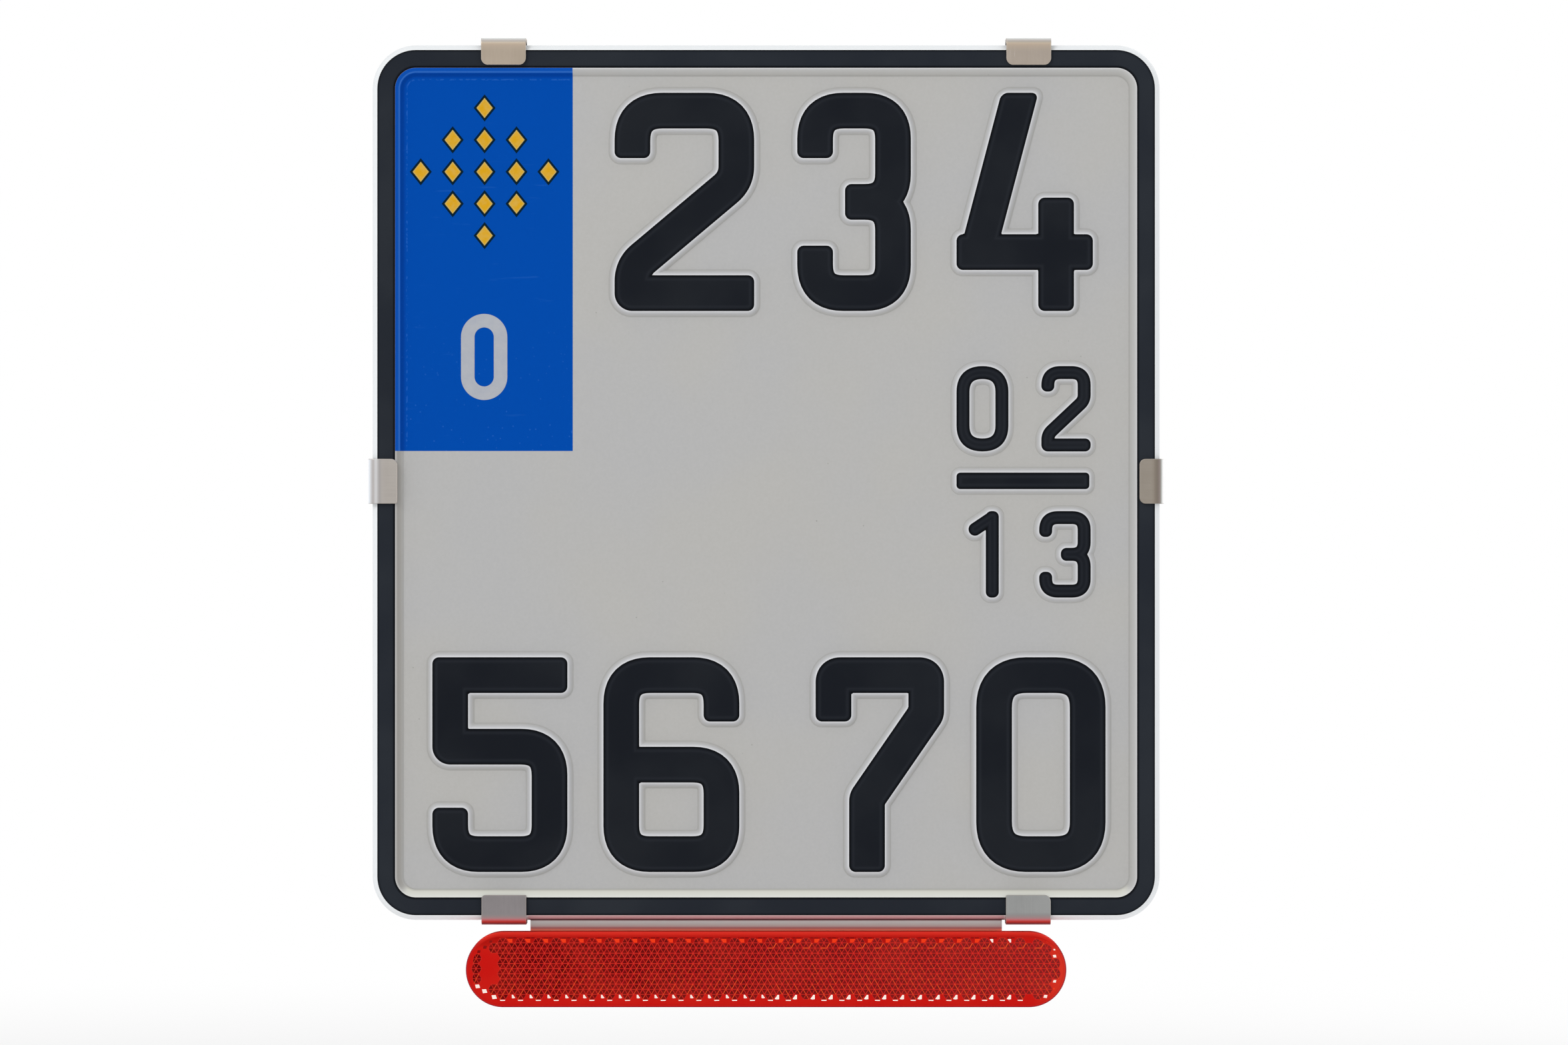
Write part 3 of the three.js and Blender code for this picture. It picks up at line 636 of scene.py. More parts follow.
def squareEnd(x, z, point, inside, half, corner):
    # distance to the last bit of a stroke that ends square: a box about the line from the end inwards
    inward = (inside - point) / np.linalg.norm(inside - point)
    along = (x - point[0]) * inward[0] + (z - point[1]) * inward[1]
    across = np.abs((x - point[0]) * inward[1] - (z - point[1]) * inward[0])
    return roundMax(across - (half - corner), np.maximum(corner - along, along - half)), point + inward * half


def boxDistance(x, z, width, height, corner):
    # signed distance to a box, left that much larger for corners that are rounded later
    return roundMax(np.maximum(-x, x - width) + corner, np.maximum(-z, z - height) + corner)


def digitDistance(digit, x, z, width, height, form):
    # signed distance to a digit's outline: the nearest of its strokes, with square ends where it has them,
    # drawn thinner by the corner radius and then made wider again, which rounds the corners; a side of the
    # box cuts those strokes that run out through it
    half, corner = form['stroke'] / 2, form['corner']
    result = np.full(x.shape, np.inf)
    for path, cutStart, cutEnd in strokesOf(digit, width, height, half, form['roundness']):
        nearest = np.full(x.shape, np.inf)
        for isCut, last, before in ((cutStart, 0, 1), (cutEnd, -1, -2)):
            if isCut:
                ending, path[last] = squareEnd(x, z, path[last], path[before], half, corner)
                nearest = np.minimum(nearest, ending)
        nearest = np.minimum(nearest, pathDistance(path, x, z) - (half - corner))
        for axis, size, place in ((0, width, x), (1, height, z)):
            if path[:, axis].min() < 0:
                nearest = roundMax(nearest, corner - place)
            if path[:, axis].max() > size:
                nearest = roundMax(nearest, place - size + corner)
        result = np.minimum(result, nearest)
    return result - corner


def raisedBody(outline, left, low, width, height, form):
    # a height field over the plate's face: full height inside the outline, outside it a flank that falls by
    # the smooth step 3t² - 2t³, and an edge that dips into the sheet, closed by a rear face and side walls
    step = form['step']
    flank = form['flank']
    margin = flank + step * 4
    x, z = np.meshgrid(np.arange(-margin, width + margin + step, step),
                       np.arange(-margin, height + margin + step, step), indexing='ij')
    far = outline(x, z)
    shoulder = characters['shoulder']
    down = np.clip((far + shoulder) / (flank + shoulder), 0, 1)
    front = form['rise'] * (1 - down * down * (3 - 2 * down))
    front -= np.clip(far - flank, 0, 1) * characters['lipDrop']
    inside = far < flank + step * 2
    kept = inside[:-1, :-1] & inside[1:, :-1] & inside[1:, 1:] & inside[:-1, 1:]
    count = x.size
    quads = gridFaces(*x.shape)[kept.ravel()]
    edges = np.stack([quads, np.roll(quads, -1, axis=1)], -1).reshape(-1, 2)
    isOpen = ~np.isin(edges[:, 1] * count + edges[:, 0], edges[:, 0] * count + edges[:, 1])
    start, end = edges[isOpen].T
    walls = np.column_stack([end, start, start + count, end + count])
    faces = np.concatenate([quads, quads[:, ::-1] + count, walls])
    rear = np.full(count, -characters['lipDrop'] - characters['sunk'])
    points = np.column_stack([np.tile(x.ravel() + left, 2) + plateMiddle[0],
                              fieldFront - np.concatenate([front.ravel(), rear]),
                              np.tile(z.ravel() + low, 2) + plateMiddle[2]])
    used, renumbered = np.unique(faces, return_inverse=True)
    return points[used], renumbered.reshape(faces.shape), np.tile(far.ravel(), 2)[used]


def characterFilm():
    # the same sheeting over a raised character: ink on its flat top, white stretched film on its flanks, and
    # painted light and shade on its edges, flanks and foot
    material, tree, inputs, coords = startMaterial('inkedSheeting', filmValues)
    far = addNode(tree, 'ShaderNodeAttribute', {'attribute_name': 'edge'}, out='Fac')
    inked = addNode(tree, 'ShaderNodeMath', {'operation': 'LESS_THAN'}, {0: far, 1: 0.0})
    ink = inkColour(tree, coords, characters['ink'])
    ground = addNode(tree, 'ShaderNodeMix', forColours,
                     {share: inked, under: filmColour(tree, coords), over: ink}, mixOut)
    tree.links.new(bandsOver(tree, ground, far, characters['bands']), inputs['Base Color'])
    orangePeel(tree, coords, inputs)
    return material


def makeCharacters():
    # the two rows, the small block and its bar, each character in the box that the dictionary gives it
    film = characterFilm()
    jobs = [(digit, left, right, *characters[f'{row}Heights'], characters['large'])
            for row in ('topRow', 'bottomRow') for digit, left, right in characters[row]]
    jobs += [(*entry, characters['small']) for entry in characters['smallBlock']]
    jobs.append(('bar', *characters['smallBar'], characters['small']))
    for number, (digit, left, right, low, high, form) in enumerate(jobs):
        width, height = right - left, high - low
        if digit == 'bar':
            corner = characters['barCorner']
            outline = lambda x, z: boxDistance(x, z, width, height, corner) - corner
        else:
            outline = lambda x, z: digitDistance(digit, x, z, width, height, form)
        points, faces, far = raisedBody(outline, left, low, width, height, form)
        piece = makePiece(f'raised_character_{number + 1:02d}', points, faces, [film], 50,
                          attributes=[('edge', 'FLOAT', 'POINT', far)])
        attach(piece, 'root')


makeCharacters()
print('characters done')


# Prints on the blue film
prints = dict(
    middle=(-64.4, 71.1),
    pitch=7.3,
    halfWidth=2.5,
    halfHeight=3.1,
    thickness=0.04,
    numeral=(-69.8, -59.2, 18.9, 38.6),
    numeralStroke=3.1,
    gold='#d6a01c',
    goldPale='#cdbb7a',
    pale='#b4b6ba',
    paleWorn='#a3a8b4',
    goldCloud=1.5,
    paleCloud=1.3,
    # by distance from a lozenge's edge: dark keyline, a paler rim inside it, then gold
    bands=[(0.0, '#06202e'), (0.46, '#06202e'), (0.56, '#c9b069', 0.9), (0.85, '#d0a63a', 0.4),
           (1.2, '#d6a01c', 0.0)],
)


def goldPrint():
    # screen-printed gold ink with a dark keyline round each lozenge
    material, tree, inputs, coords = startMaterial('screenPrintedGold', filmValues)
    far = addNode(tree, 'ShaderNodeAttribute', {'attribute_name': 'edge'}, out='Fac')
    cloud = addNode(tree, 'ShaderNodeTexNoise', {},
                    {'Vector': coords, 'Scale': perSize(prints['goldCloud']), 'Detail': 3})
    gold = laidOver(tree, prints['gold'], prints['goldPale'], cloud, 0.35, 0.75, 0.25)
    tree.links.new(bandsOver(tree, gold, far, prints['bands']), inputs['Base Color'])
    orangePeel(tree, coords, inputs)
    return material


def paleInk():
    # pale printing ink over blue film: cool white, the film just showing through
    material, tree, inputs, coords = startMaterial('paleScreenInk', filmValues)
    cloud = addNode(tree, 'ShaderNodeTexNoise', {},
                    {'Vector': coords, 'Scale': perSize(prints['paleCloud']), 'Detail': 4})
    colour = laidOver(tree, prints['pale'], prints['paleWorn'], cloud, 0, 1, settings={})
    tree.links.new(colour, inputs['Base Color'])
    orangePeel(tree, coords, inputs)
    return material


def makeLozenges():
    # flat lozenges on a square lattice: all places (i, j) with |i| + |j| of 2 at most, which make a diamond;
    # each is a low pyramid of four triangles in front and behind, so that its middle carries a distance
    i, j = np.meshgrid(np.arange(-2, 3), np.arange(-2, 3), indexing='ij')
    kept = np.abs(i) + np.abs(j) <= 2
    middles = np.column_stack([i[kept], j[kept]]) * prints['pitch'] + np.array(prints['middle'])
    halfWidth, halfHeight = prints['halfWidth'], prints['halfHeight']
    corners = np.array([[1, 0], [0, 1], [-1, 0], [0, -1]]) * [halfWidth, halfHeight]
    flat = np.concatenate([middles[:, None], middles[:, None] + corners[None]], axis=1)
    depth = np.full(flat.shape[:2], fieldFront - prints['thickness'])
    front = np.stack([flat[..., 0] + plateMiddle[0], depth, flat[..., 1] + plateMiddle[2]], -1)
    rear = front + [0, prints['thickness'] * 2, 0]
    points = np.concatenate([front, rear], axis=1).reshape(-1, 3)
    corner = np.arange(4)
    after = (corner + 1) % 4
    pattern = [[0, 1 + a, 1 + b] for a, b in zip(corner, after)]
    pattern += [[5, 6 + b, 6 + a] for a, b in zip(corner, after)]
    pattern += [[1 + a, 6 + a, 6 + b, 1 + b] for a, b in zip(corner, after)]
    faces = [[index + 10 * k for index in face] for k in range(len(middles)) for face in pattern]
    toEdge = halfWidth * halfHeight / math.hypot(halfWidth, halfHeight)  # from the middle
    far = np.tile([toEdge, 0, 0, 0, 0], len(middles) * 2)
    piece = makePiece('printed_lozenges', points, faces, [goldPrint()],
                      attributes=[('edge', 'FLOAT', 'POINT', far)])
    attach(piece, 'root')


def makeNumeral():
    # a thin flat digit: rings of one outline front and back, joined at the outer and the inner edge
    left, right, low, high = prints['numeral']
    radius = (right - left) / 2
    outline = roundedOutline(radius, (high - low) / 2, radius, 16, 4)
    middle = np.array([(left + right) / 2 + plateMiddle[0], 0, (low + high) / 2 + plateMiddle[2]])
    depths = fieldFront + np.array([-1, -1, 1, 1]) * prints['thickness']
    stroke = prints['numeralStroke']
    rings = ringsAlong(outline, radius, np.column_stack([[0, stroke, stroke, 0], depths]), middle)
    faces = gridFaces(4, rings.shape[1], closeRows=True, closeColumns=True)
    piece = makePiece('printed_numeral', rings.reshape(-1, 3), faces, [paleInk()])
    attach(piece, 'root')


makeLozenges()
makeNumeral()
print('prints done')


# Stainless sheet and its folded clips
steel = dict(
    grain=0.35,  # width of the rolled grain, drawn wider than the real one so that it shows
    grainStretch=0.06,
    grainDepth=0.0004,
    clouds=6,
    pitSpacing=2.4,
    pitRadii=(0.03, 0.08),
    bendRoughness=0.7,  # of the stretched outside of a bend, and where along a clip it ends
    bendEnds=(0.6, 1.6),
    sheetCloud=0.2,  # share of the clouds in the mottling, of the sheet and of the clips
    clipCloud=0.65,
    scratch='#d9d4cd',
    pit='#5f5a55',
    sheet=('#bdb4ae', '#c9c2bc'),
    # each clip's pair: the same stainless, tinted by a painted reflection of what it faces
    tan=('#a6998a', '#ac9f90'),
    warm=('#a4998e', '#aa9f94'),
    silver=('#a7a19b', '#ada7a1'),
    brown=('#90887e', '#968e84'),
    grey=('#878283', '#8d8889'),
    coolGrey=('#929392', '#989998'),
    # along a clip from where its bend starts: painted reflections of what the bend mirrors, the white room
    # above or the red below; on the side clips the white fades into painted shade
    white=[(-0.9, '#b3a695', 0.0), (-0.2, '#f4f4f3'), (0.15, '#eeeeec'), (0.3, '#e4e5e3'), (0.5, '#dadcda'),
           (0.67, '#cfcdcc'), (0.81, '#c7c3bf'), (0.94, '#b8b2ad'), (1.06, '#aaa49d'), (1.165, '#a89e92'),
           (1.27, '#b2a797'), (1.38, '#b9aa99'), (1.51, '#b9a896'), (1.66, '#b6a694', 0.9),
           (1.85, '#b3a393', 0.8), (2.3, '#b0a191', 0.6), (3.2, '#ab9e8e', 0.0)],
    red=[(-0.9, '#8c8888', 0.0), (-0.2, '#b08488'), (0.35, '#a87c80'), (0.53, '#9b7478'), (0.7, '#a64347'),
         (0.85, '#b53e37'), (0.97, '#c6423b'), (1.08, '#cc4846'), (1.19, '#ca5858'), (1.29, '#c76b6d'),
         (1.4, '#bb777a'), (1.55, '#ab7b7e'), (1.7, '#a28182'), (1.85, '#9c8383', 0.9), (2.1, '#958484', 0.8),
         (2.5, '#8b8585', 0.5), (3.0, '#888484', 0.0)],
    shade=[(-0.9, '#938b81', 0.0), (-0.2, '#ffffff'), (0.6, '#fbfbfb'), (0.8, '#dcdddb'), (0.9, '#c0c1be'),
           (1.02, '#9d9a96'), (1.13, '#877f7b'), (1.25, '#817771'), (1.6, '#7d736b'), (1.9, '#7e766b'),
           (2.2, '#83796f', 0.9), (2.5, '#8a8176', 0.7), (3.1, '#928a7f', 0.4), (3.6, '#938b81', 0.0)],
    pale=[(-0.9, '#a7a19b', 0.0), (-0.2, '#f8fafc'), (0.45, '#f4f6fa'), (0.72, '#e6eaee'), (0.85, '#d8d9db'),
          (0.98, '#c8c7c9'), (1.1, '#b7b5b6'), (1.2, '#aeabaa'), (1.3, '#ada8a6'), (1.55, '#c1bfbf'),
          (1.87, '#cbcbcc'), (2.02, '#cac8c9'), (2.3, '#b7b5b4'), (2.6, '#a6a2a1'), (2.8, '#a29e9c'),
          (3.05, '#a8a39f', 0.9), (3.5, '#aea8a4', 0.4), (5.0, '#a7a19b', 0.0)],
    # in from a clip's free edge: a painted highlight where the rounded edge catches the light
    rim=[(0.0, '#c6beb5', 0.4), (0.1, '#c0b8ae', 0.3), (0.2, '#b5aca1', 0.0)],
    # up the sheet's front from the top of the reflector: a painted reflection of it, then painted shade in
    # the gap under the plate
    mirror=[(-0.8, '#c3bbb5', 0.0), (-0.5, '#ff9078'), (0.1, '#ff907a'), (0.3, '#e28776'), (0.47, '#bf7a73'),
            (0.63, '#b07776'), (0.78, '#b89092'), (1.08, '#beafab', 0.9), (1.39, '#bcb9b6', 0.8),
            (1.9, '#c8cccb', 0.8), (2.25, '#ccc6c4', 0.9), (2.34, '#7a5f60'), (3.0, '#7a5f60'),
            (3.1, '#c3bbb5', 0.0)],
    frontOf=-0.4,  # y between the sheet's two faces
)


def stainless(name, colourPair, grainAxis, cloudShare, bendBands=None, mirrorFrom=None):
    # cold-rolled stainless: a fine grain along the roll, faint scratches, and small pits; on a clip also
    # painted reflections along its bend and a painted highlight along its free edge; on the flange a painted
    # reflection of the reflector and painted shade, from a height in mm upwards
    material, tree, inputs, coords = startMaterial(name, {'Metallic': 1.0})
    stretch = [1.0, 1.0, 1.0]
    stretch[grainAxis] = steel['grainStretch']
    along = addNode(tree, 'ShaderNodeMapping', {}, {'Vector': coords, 'Scale': stretch})
    grain, cloud = [
        addNode(tree, 'ShaderNodeTexNoise', {}, {'Vector': vector, 'Scale': perSize(size), 'Detail': detail})
        for vector, size, detail in ((along, steel['grain'], 4), (coords, steel['clouds'], 3))]
    mottle = addNode(tree, 'ShaderNodeMix', {}, {0: cloudShare, 2: grain, 3: cloud})
    colour = laidOver(tree, *colourPair, mottle, 0.35, 0.65)
    colour = laidOver(tree, colour, steel['scratch'], grain, 0.72, 0.8, 0.35)
    places = addNode(tree, 'ShaderNodeMapRange', {},
                     {'Value': cloud, 'From Min': 0.5, 'From Max': 0.6, 'To Max': 0.7})
    colour = specked(tree, colour, steel['pit'], coords, steel['pitSpacing'], steel['pitRadii'], places)
    sheen = addNode(tree, 'ShaderNodeMapRange', {},
                    {'Value': grain, 'From Min': 0.25, 'From Max': 0.75, 'To Min': 0.35, 'To Max': 0.38})
    # painted reflections along the bend and a painted highlight along the free edge
    if bendBands:
        fromBend, fromEdge = [addNode(tree, 'ShaderNodeAttribute', {'attribute_name': name}, out='Fac')
                              for name in ('fromBend', 'fromEdge')]
        colour = bandsOver(tree, bandsOver(tree, colour, fromBend, bendBands), fromEdge, steel['rim'])
        start, end = steel['bendEnds']
        stretched = addNode(tree, 'ShaderNodeMapRange', smooth, {
            'Value': fromBend, 'From Min': start, 'From Max': end,
            'To Min': steel['bendRoughness'], 'To Max': 0.3})
        sheen = addNode(tree, 'ShaderNodeMath', greater, {0: sheen, 1: stretched})
    # painted reflection of the reflector and painted shade under the plate, on the front of the flange
    if mirrorFrom is not None:
        axes = addNode(tree, 'ShaderNodeSeparateXYZ', {}, {0: coords}).node.outputs
        height = addNode(tree, 'ShaderNodeMath', {'operation': 'MULTIPLY_ADD'},
                         {0: axes['Z'], 1: 1 / mm, 2: -mirrorFrom})
        inFront = addNode(tree, 'ShaderNodeMath', {'operation': 'LESS_THAN'},
                          {0: axes['Y'], 1: steel['frontOf'] * mm})
        colour = bandsOver(tree, colour, height, steel['mirror'], inFront)
    tree.links.new(colour, inputs['Base Color'])
    tree.links.new(sheen, inputs['Roughness'])
    bump = addNode(tree, 'ShaderNodeBump', {}, {'Height': grain, 'Distance': steel['grainDepth'] * mm})
    tree.links.new(bump, inputs['Normal'])
    return material


clipShape = dict(
    thickness=0.84,  # the sheet's 0.8 and a hair, so that the web beneath stays inside
    sideSpare=0.03,  # by which the strip is wider than the web, on each side
    leastWidth=0.01,  # of a strip's flat between its rounded edges
    bendRadius=0.9,  # of the middle line
    bendCentre=6.9,  # height of the bend's centre in front of the rear face
    pivotToFace=0.4,  # from the fold's axis, half way round the bend, to just outside the web's outer face
    webStart=1.7,
    edgeRadius=0.14,
    acrossSteps=16,
    webSteps=6,
    arcSteps=14,
    lipSteps=28,
    edgeSteps=4,
    waveRise=0.5,  # over which the dents begin
)
clipList = [  # node, body, outward direction in x and z, radii of the free corners, depth of dents and their seed, its colour pair, which holds a painted reflection, and the painted reflection along its bend
    dict(node='top_left_clip', body='top_left_lip', out=(0, 1), radii=(1.6, 1.6), dent=0.015, seed=3,
         metal='tan', bend='white'),
    dict(node='top_right_clip', body='top_right_lip', out=(0, 1), radii=(1.6, 1.6), dent=0.03, seed=5,
         metal='warm', bend='white'),
    dict(node='left_clip', body='left_lip', out=(-1, 0), radii=(0.5, 1.5), dent=0.05, seed=11,
         metal='silver', bend='pale'),
    dict(node='right_clip', body='right_lip', out=(1, 0), radii=(1.4, 1.4), dent=0.04, seed=13,
         metal='brown', bend='shade'),
    dict(node='bottom_left_clip', body='bottom_left_lip', out=(0, -1), radii=(0.9, 0.3), dent=0.02, seed=17,
         metal='grey', bend='red'),
    dict(node='bottom_right_clip', body='bottom_right_lip', out=(0, -1), radii=(0.3, 1.5), dent=0.02, seed=19,
         metal='coolGrey', bend='red'),
]


def dents(seed, along, across, size):
    # shallow waves left by pliers: a few sines of chosen lengths with phases from the seed
    phase = np.random.default_rng(seed).uniform(0, 2 * np.pi, 4)
    waves = (np.sin(along / 1.9 + phase[0]) * np.cos(across / 3.1 + phase[1])
             + 0.6 * np.sin(along / 1.1 + phase[2] + across / 2.3)
             + 0.4 * np.cos(across / 1.3 + phase[3] - along / 2.9))
    return size * waves / 2


def clipPath(reach, end):
    # the strip's middle line as (outward, forward): up the web, a quarter turn about the bend's centre, then
    # in over the rim, with points closer together near the free end by a sine; also its thinning there, by a
    # quarter turn of the edge's radius, and the number of points on the web
    shape = clipShape
    bendRadius, edgeRadius = shape['bendRadius'], shape['edgeRadius']
    edge = reach - shape['thickness'] / 2 - bendRadius
    angle = np.linspace(0, np.pi / 2, shape['arcSteps'] + 1)
    height = np.linspace(shape['webStart'], shape['bendCentre'], shape['webSteps'] + 1)[:-1]
    web = np.column_stack([np.full(len(height), edge + bendRadius), height])
    bend = np.column_stack([edge + bendRadius * np.cos(angle),
                            shape['bendCentre'] + bendRadius * np.sin(angle)])
    tip = end + edgeRadius
    along = np.sin(np.linspace(0, np.pi / 2, shape['lipSteps'] + 1))[1:]
    quarter = np.linspace(0, np.pi / 2, shape['edgeSteps'] + 1)[1:]
    lip = np.concatenate([edge + (tip - edge) * along, tip - edgeRadius * np.sin(quarter)])
    path = np.concatenate([web, bend, np.column_stack([lip, np.full(len(lip), bend[-1, 1])])])
    thinning = np.ones(len(path))
    thinning[-len(quarter):] -= edgeRadius * (1 - np.cos(quarter)) / (shape['thickness'] / 2)
    return path, thinning, len(web)


def clipSection():
    # once round the strip: share of the width, height from -1 to 1, and how far an edge's round bulges out
    shape = clipShape
    across = (1 - np.cos(np.linspace(0, np.pi, shape['acrossSteps'] + 1))) / 2
    quarter = np.linspace(0, np.pi / 2, shape['edgeSteps'] + 1)[1:]
    drop = 1 - shape['edgeRadius'] * (1 - np.cos(quarter)) / (shape['thickness'] / 2)
    front = np.column_stack([across, np.ones(len(across)), np.zeros(len(across))])
    farEdge = np.column_stack([np.ones(len(quarter) * 2), np.concatenate([drop, -drop[::-1]]),
                               np.concatenate([np.sin(quarter), np.sin(quarter)[::-1]])])
    turned = [1, -1, 1]
    return np.concatenate([front, farEdge, front[::-1] * turned, (farEdge * turned - [1, 0, 0]) * [-1, 1, 1]])


def makeClip(clip):
    # the section carried along the path; its width narrows round the free corners, and dents wave the lip
    low, high = boxOf(clip['node'])
    out = np.array([clip['out'][0], 0.0, clip['out'][1]])
    across = np.array([abs(clip['out'][1]), 0.0, abs(clip['out'][0])], float)
    shape = clipShape
    hinge = next(joint for joint in frame['joints'] if joint['child'] == clip['body'])
    pivot = Vector(hinge['pos_m'])
    reach = out @ np.array(pivot) / mm + shape['pivotToFace']
    end = min(out @ low, out @ high)
    near, far = sorted((across @ low, across @ high))
    path, thinning, webCount = clipPath(reach, end)
    steps = np.diff(path, axis=0)
    heading = np.vstack([steps[:1], steps[:-1] + steps[1:], steps[-1:]])
    heading /= np.linalg.norm(heading, axis=1)[:, None]
    normal = np.column_stack([heading[:, 1], -heading[:, 0]])  # outwards on the web, forwards on the lip
    travelled = np.concatenate([[0], np.cumsum(np.linalg.norm(steps, axis=1))])
    onLip = path[:, 1] > shape['bendCentre']
    narrow = []
    for radius in clip['radii']:
        past = np.clip(end + radius - path[:, 0], 0, radius) * onLip
        narrow.append(radius - np.sqrt(radius ** 2 - past ** 2))
    start = near - shape['sideSpare'] + narrow[0]
    finish = far + shape['sideSpare'] - narrow[1]
    section = clipSection()
    radius = shape['edgeRadius']
    inner = np.maximum(finish - start - radius * 2, shape['leastWidth'])[:, None]
    bulge = section[None, :, 2] * (section[None, :, 0] * 2 - 1)
    placeAcross = start[:, None] + radius + inner * section[None, :, 0] + radius * bulge
    wave = dents(clip['seed'], travelled[:, None], placeAcross, clip['dent'])
    wave = wave * np.clip((path[:, 1:2] - shape['bendCentre']) / shape['waveRise'], 0, 1)
    offset = shape['thickness'] / 2 * section[None, :, 1] * thinning[:, None] + wave
    outwards, forwards = [path[:, None, axis] + normal[:, None, axis] * offset for axis in (0, 1)]
    rings = outwards[..., None] * out + placeAcross[..., None] * across
    rings[..., 1] = -forwards
    points, faces = loftBody(rings)
    fromBend = np.broadcast_to((travelled - travelled[webCount])[:, None], offset.shape)
    fromSide = np.minimum(placeAcross - start[:, None], finish[:, None] - placeAcross)
    fromEdge = np.where(onLip[:, None], np.minimum(fromSide, path[:, :1] - end), 1.0)
    grainAxis = 2 if clip['out'][0] == 0 else 0
    metal = stainless(f"coldRolledStainless_{clip['node']}", steel[clip['metal']], grainAxis,
                      steel['clipCloud'], steel[clip['bend']])
    piece = makePiece(f"{clip['node']}_strip", points, faces, [metal], 35, attributes=[
        ('fromBend', 'FLOAT', 'POINT', fromBend), ('fromEdge', 'FLOAT', 'POINT', fromEdge)])
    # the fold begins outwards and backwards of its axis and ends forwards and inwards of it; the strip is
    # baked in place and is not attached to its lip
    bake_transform(piece)
    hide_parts(clip['node'])


for clip in clipList:
    makeClip(clip)
sheet = frame['nodes']['back_sheet']
sheet.data.materials.clear()
lensTop = boxOf('reflector_lens')[1][2]
sheet.data.materials.append(
    stainless('coldRolledStainless', steel['sheet'], 0, steel['sheetCloud'], mirrorFrom=lensTop))
print('sheet and clips done')


# Reflector
reflector = dict(
    side=1.358,  # of the hexagon that each corner cube fills
    cellShift=-1.06,  # of the middle column from the lens's middle
    cellRise=0.3,  # of the cells, which lie behind the face and are seen from a little above
    wall=1.2,
    edgeRadius=0.5,
    faceThickness=2.2,
    margin=0.02,  # between the wall's inside and the cells, which the wall cuts off at the round ends
    cutOff=0.65,  # a cell's middle is at least this far from that line
    linePlaces=(0.6, 0.68, 0.76),  # insets of the fine dark line round the border
    lineWidths=(0.2, 0.15, 0.15),  # of the bright lines round a cube and between its faces
    bareMiddle=(-63.3, 0),  # a plain oval near the left end, where the mould has no cells
    bareSize=(2.3, 4.0),
    warmEnds=(60, 68),  # to the right, where the border gets more light
    hollowEnds=(35, 60),  # and its upper hollow gets less dark
    body='#c6150f',
    bodyWarm='#e2452f',
    # the cubes are painted: their dark faces are a painted reflection, their lines painted highlights
    face='#580002',
    faceWarm='#84080a',
    faceRight='#87201f',  # the faces get paler towards the right end
    paleOver=137,  # x over which they do, and the most that they get of that colour
    paleShare=0.85,
    # the glow of the lines, painted highlights
    restGlow=0.12,  # the most that lines glow apart from the bright ones
    spokeGlow=(0.62, 0.6),  # of the bright spokes: at the middle, and how much less at the top
    spokeSpread=(0.35, 1),  # the glow of each is times a number between these
    litGlow=0.85,  # of the lines under the top cells in the right half
    line='#d22422',
    hot='#ff5a26',
    # in the gaps: painted light where it comes through the plain plastic, dark dashes, and painted glints
    flat='#f03a16',
    dark='#7c0a0c',
    glint='#fff2e8',
    clouds=7,
    missingShare=0.12,  # of the glints under the lowest cells
    rightGlint=1.3,  # size of the lower glints in the right half, against those in the left
    pastWall=0.3,  # how far the shapes in the gaps run on over the wall
    # in from the outline: painted shade along the edge below and at the sides, and a painted highlight along
    # the one above
    edgeBands=[(-0.3, '#c6150f', 0.0), (0.0, '#6a2440', 0.9), (0.12, '#96283a', 0.7), (0.3, '#b52628', 0.4),
               (0.5, '#c6150f', 0.0), (0.6, '#9a1512', 0.0), (0.68, '#9a1512', 0.6), (0.76, '#c6150f', 0.0)],
    topBands=[(0.0, '#ff3c30'), (0.04, '#ff3c30'), (0.1, '#e63a2e'), (0.2, '#d82a1f'), (0.36, '#cd251a'),
              (0.5, '#cc261b'), (0.67, '#c42018'), (0.79, '#b71710'), (0.885, '#ac120c'), (0.96, '#a20b06'),
              (1.2, '#a9100a', 0.9)],
    # up from the lens's middle: painted shade on the border in the hollow over the cells
    heightBands=[(5.0, '#ab130b', 0.0), (6.0, '#ab130b', 0.9), (7.0, '#a9100a', 0.9), (7.37, '#a20b06', 0.9),
                 (7.7, '#aa0a08', 0.9), (8.0, '#c6150f', 0.0)],
    wallReach=0.6,  # the foot of the wall counts as this far outside the outline
    # middle of each shape in the gaps round the ends, its size and its colour
    endShapes=[(-65.9, -4.05, 1.1, 'glint'), (-64.3, -5.15, 1.15, 'glint'), (-62.1, -6.5, 1.15, 'glint'),
               (-65.6, 3.9, 0.8, 'dark'), (-64.2, 4.9, 0.9, 'dark'), (-62.9, 6.2, 0.7, 'dark'),
               (63.8, -6.35, 0.9, 'glint'), (65.9, -2.9, 0.75, 'glint'), (65.7, -4.6, 0.5, 'flat'),
               (65.9, 2.85, 0.8, 'glint'), (65.85, 4.35, 0.45, 'glint'), (64.3, 6.25, 0.5, 'flat')],
    topGlints=(51.5, 55.6),  # x of two more glints among the upper gaps
)
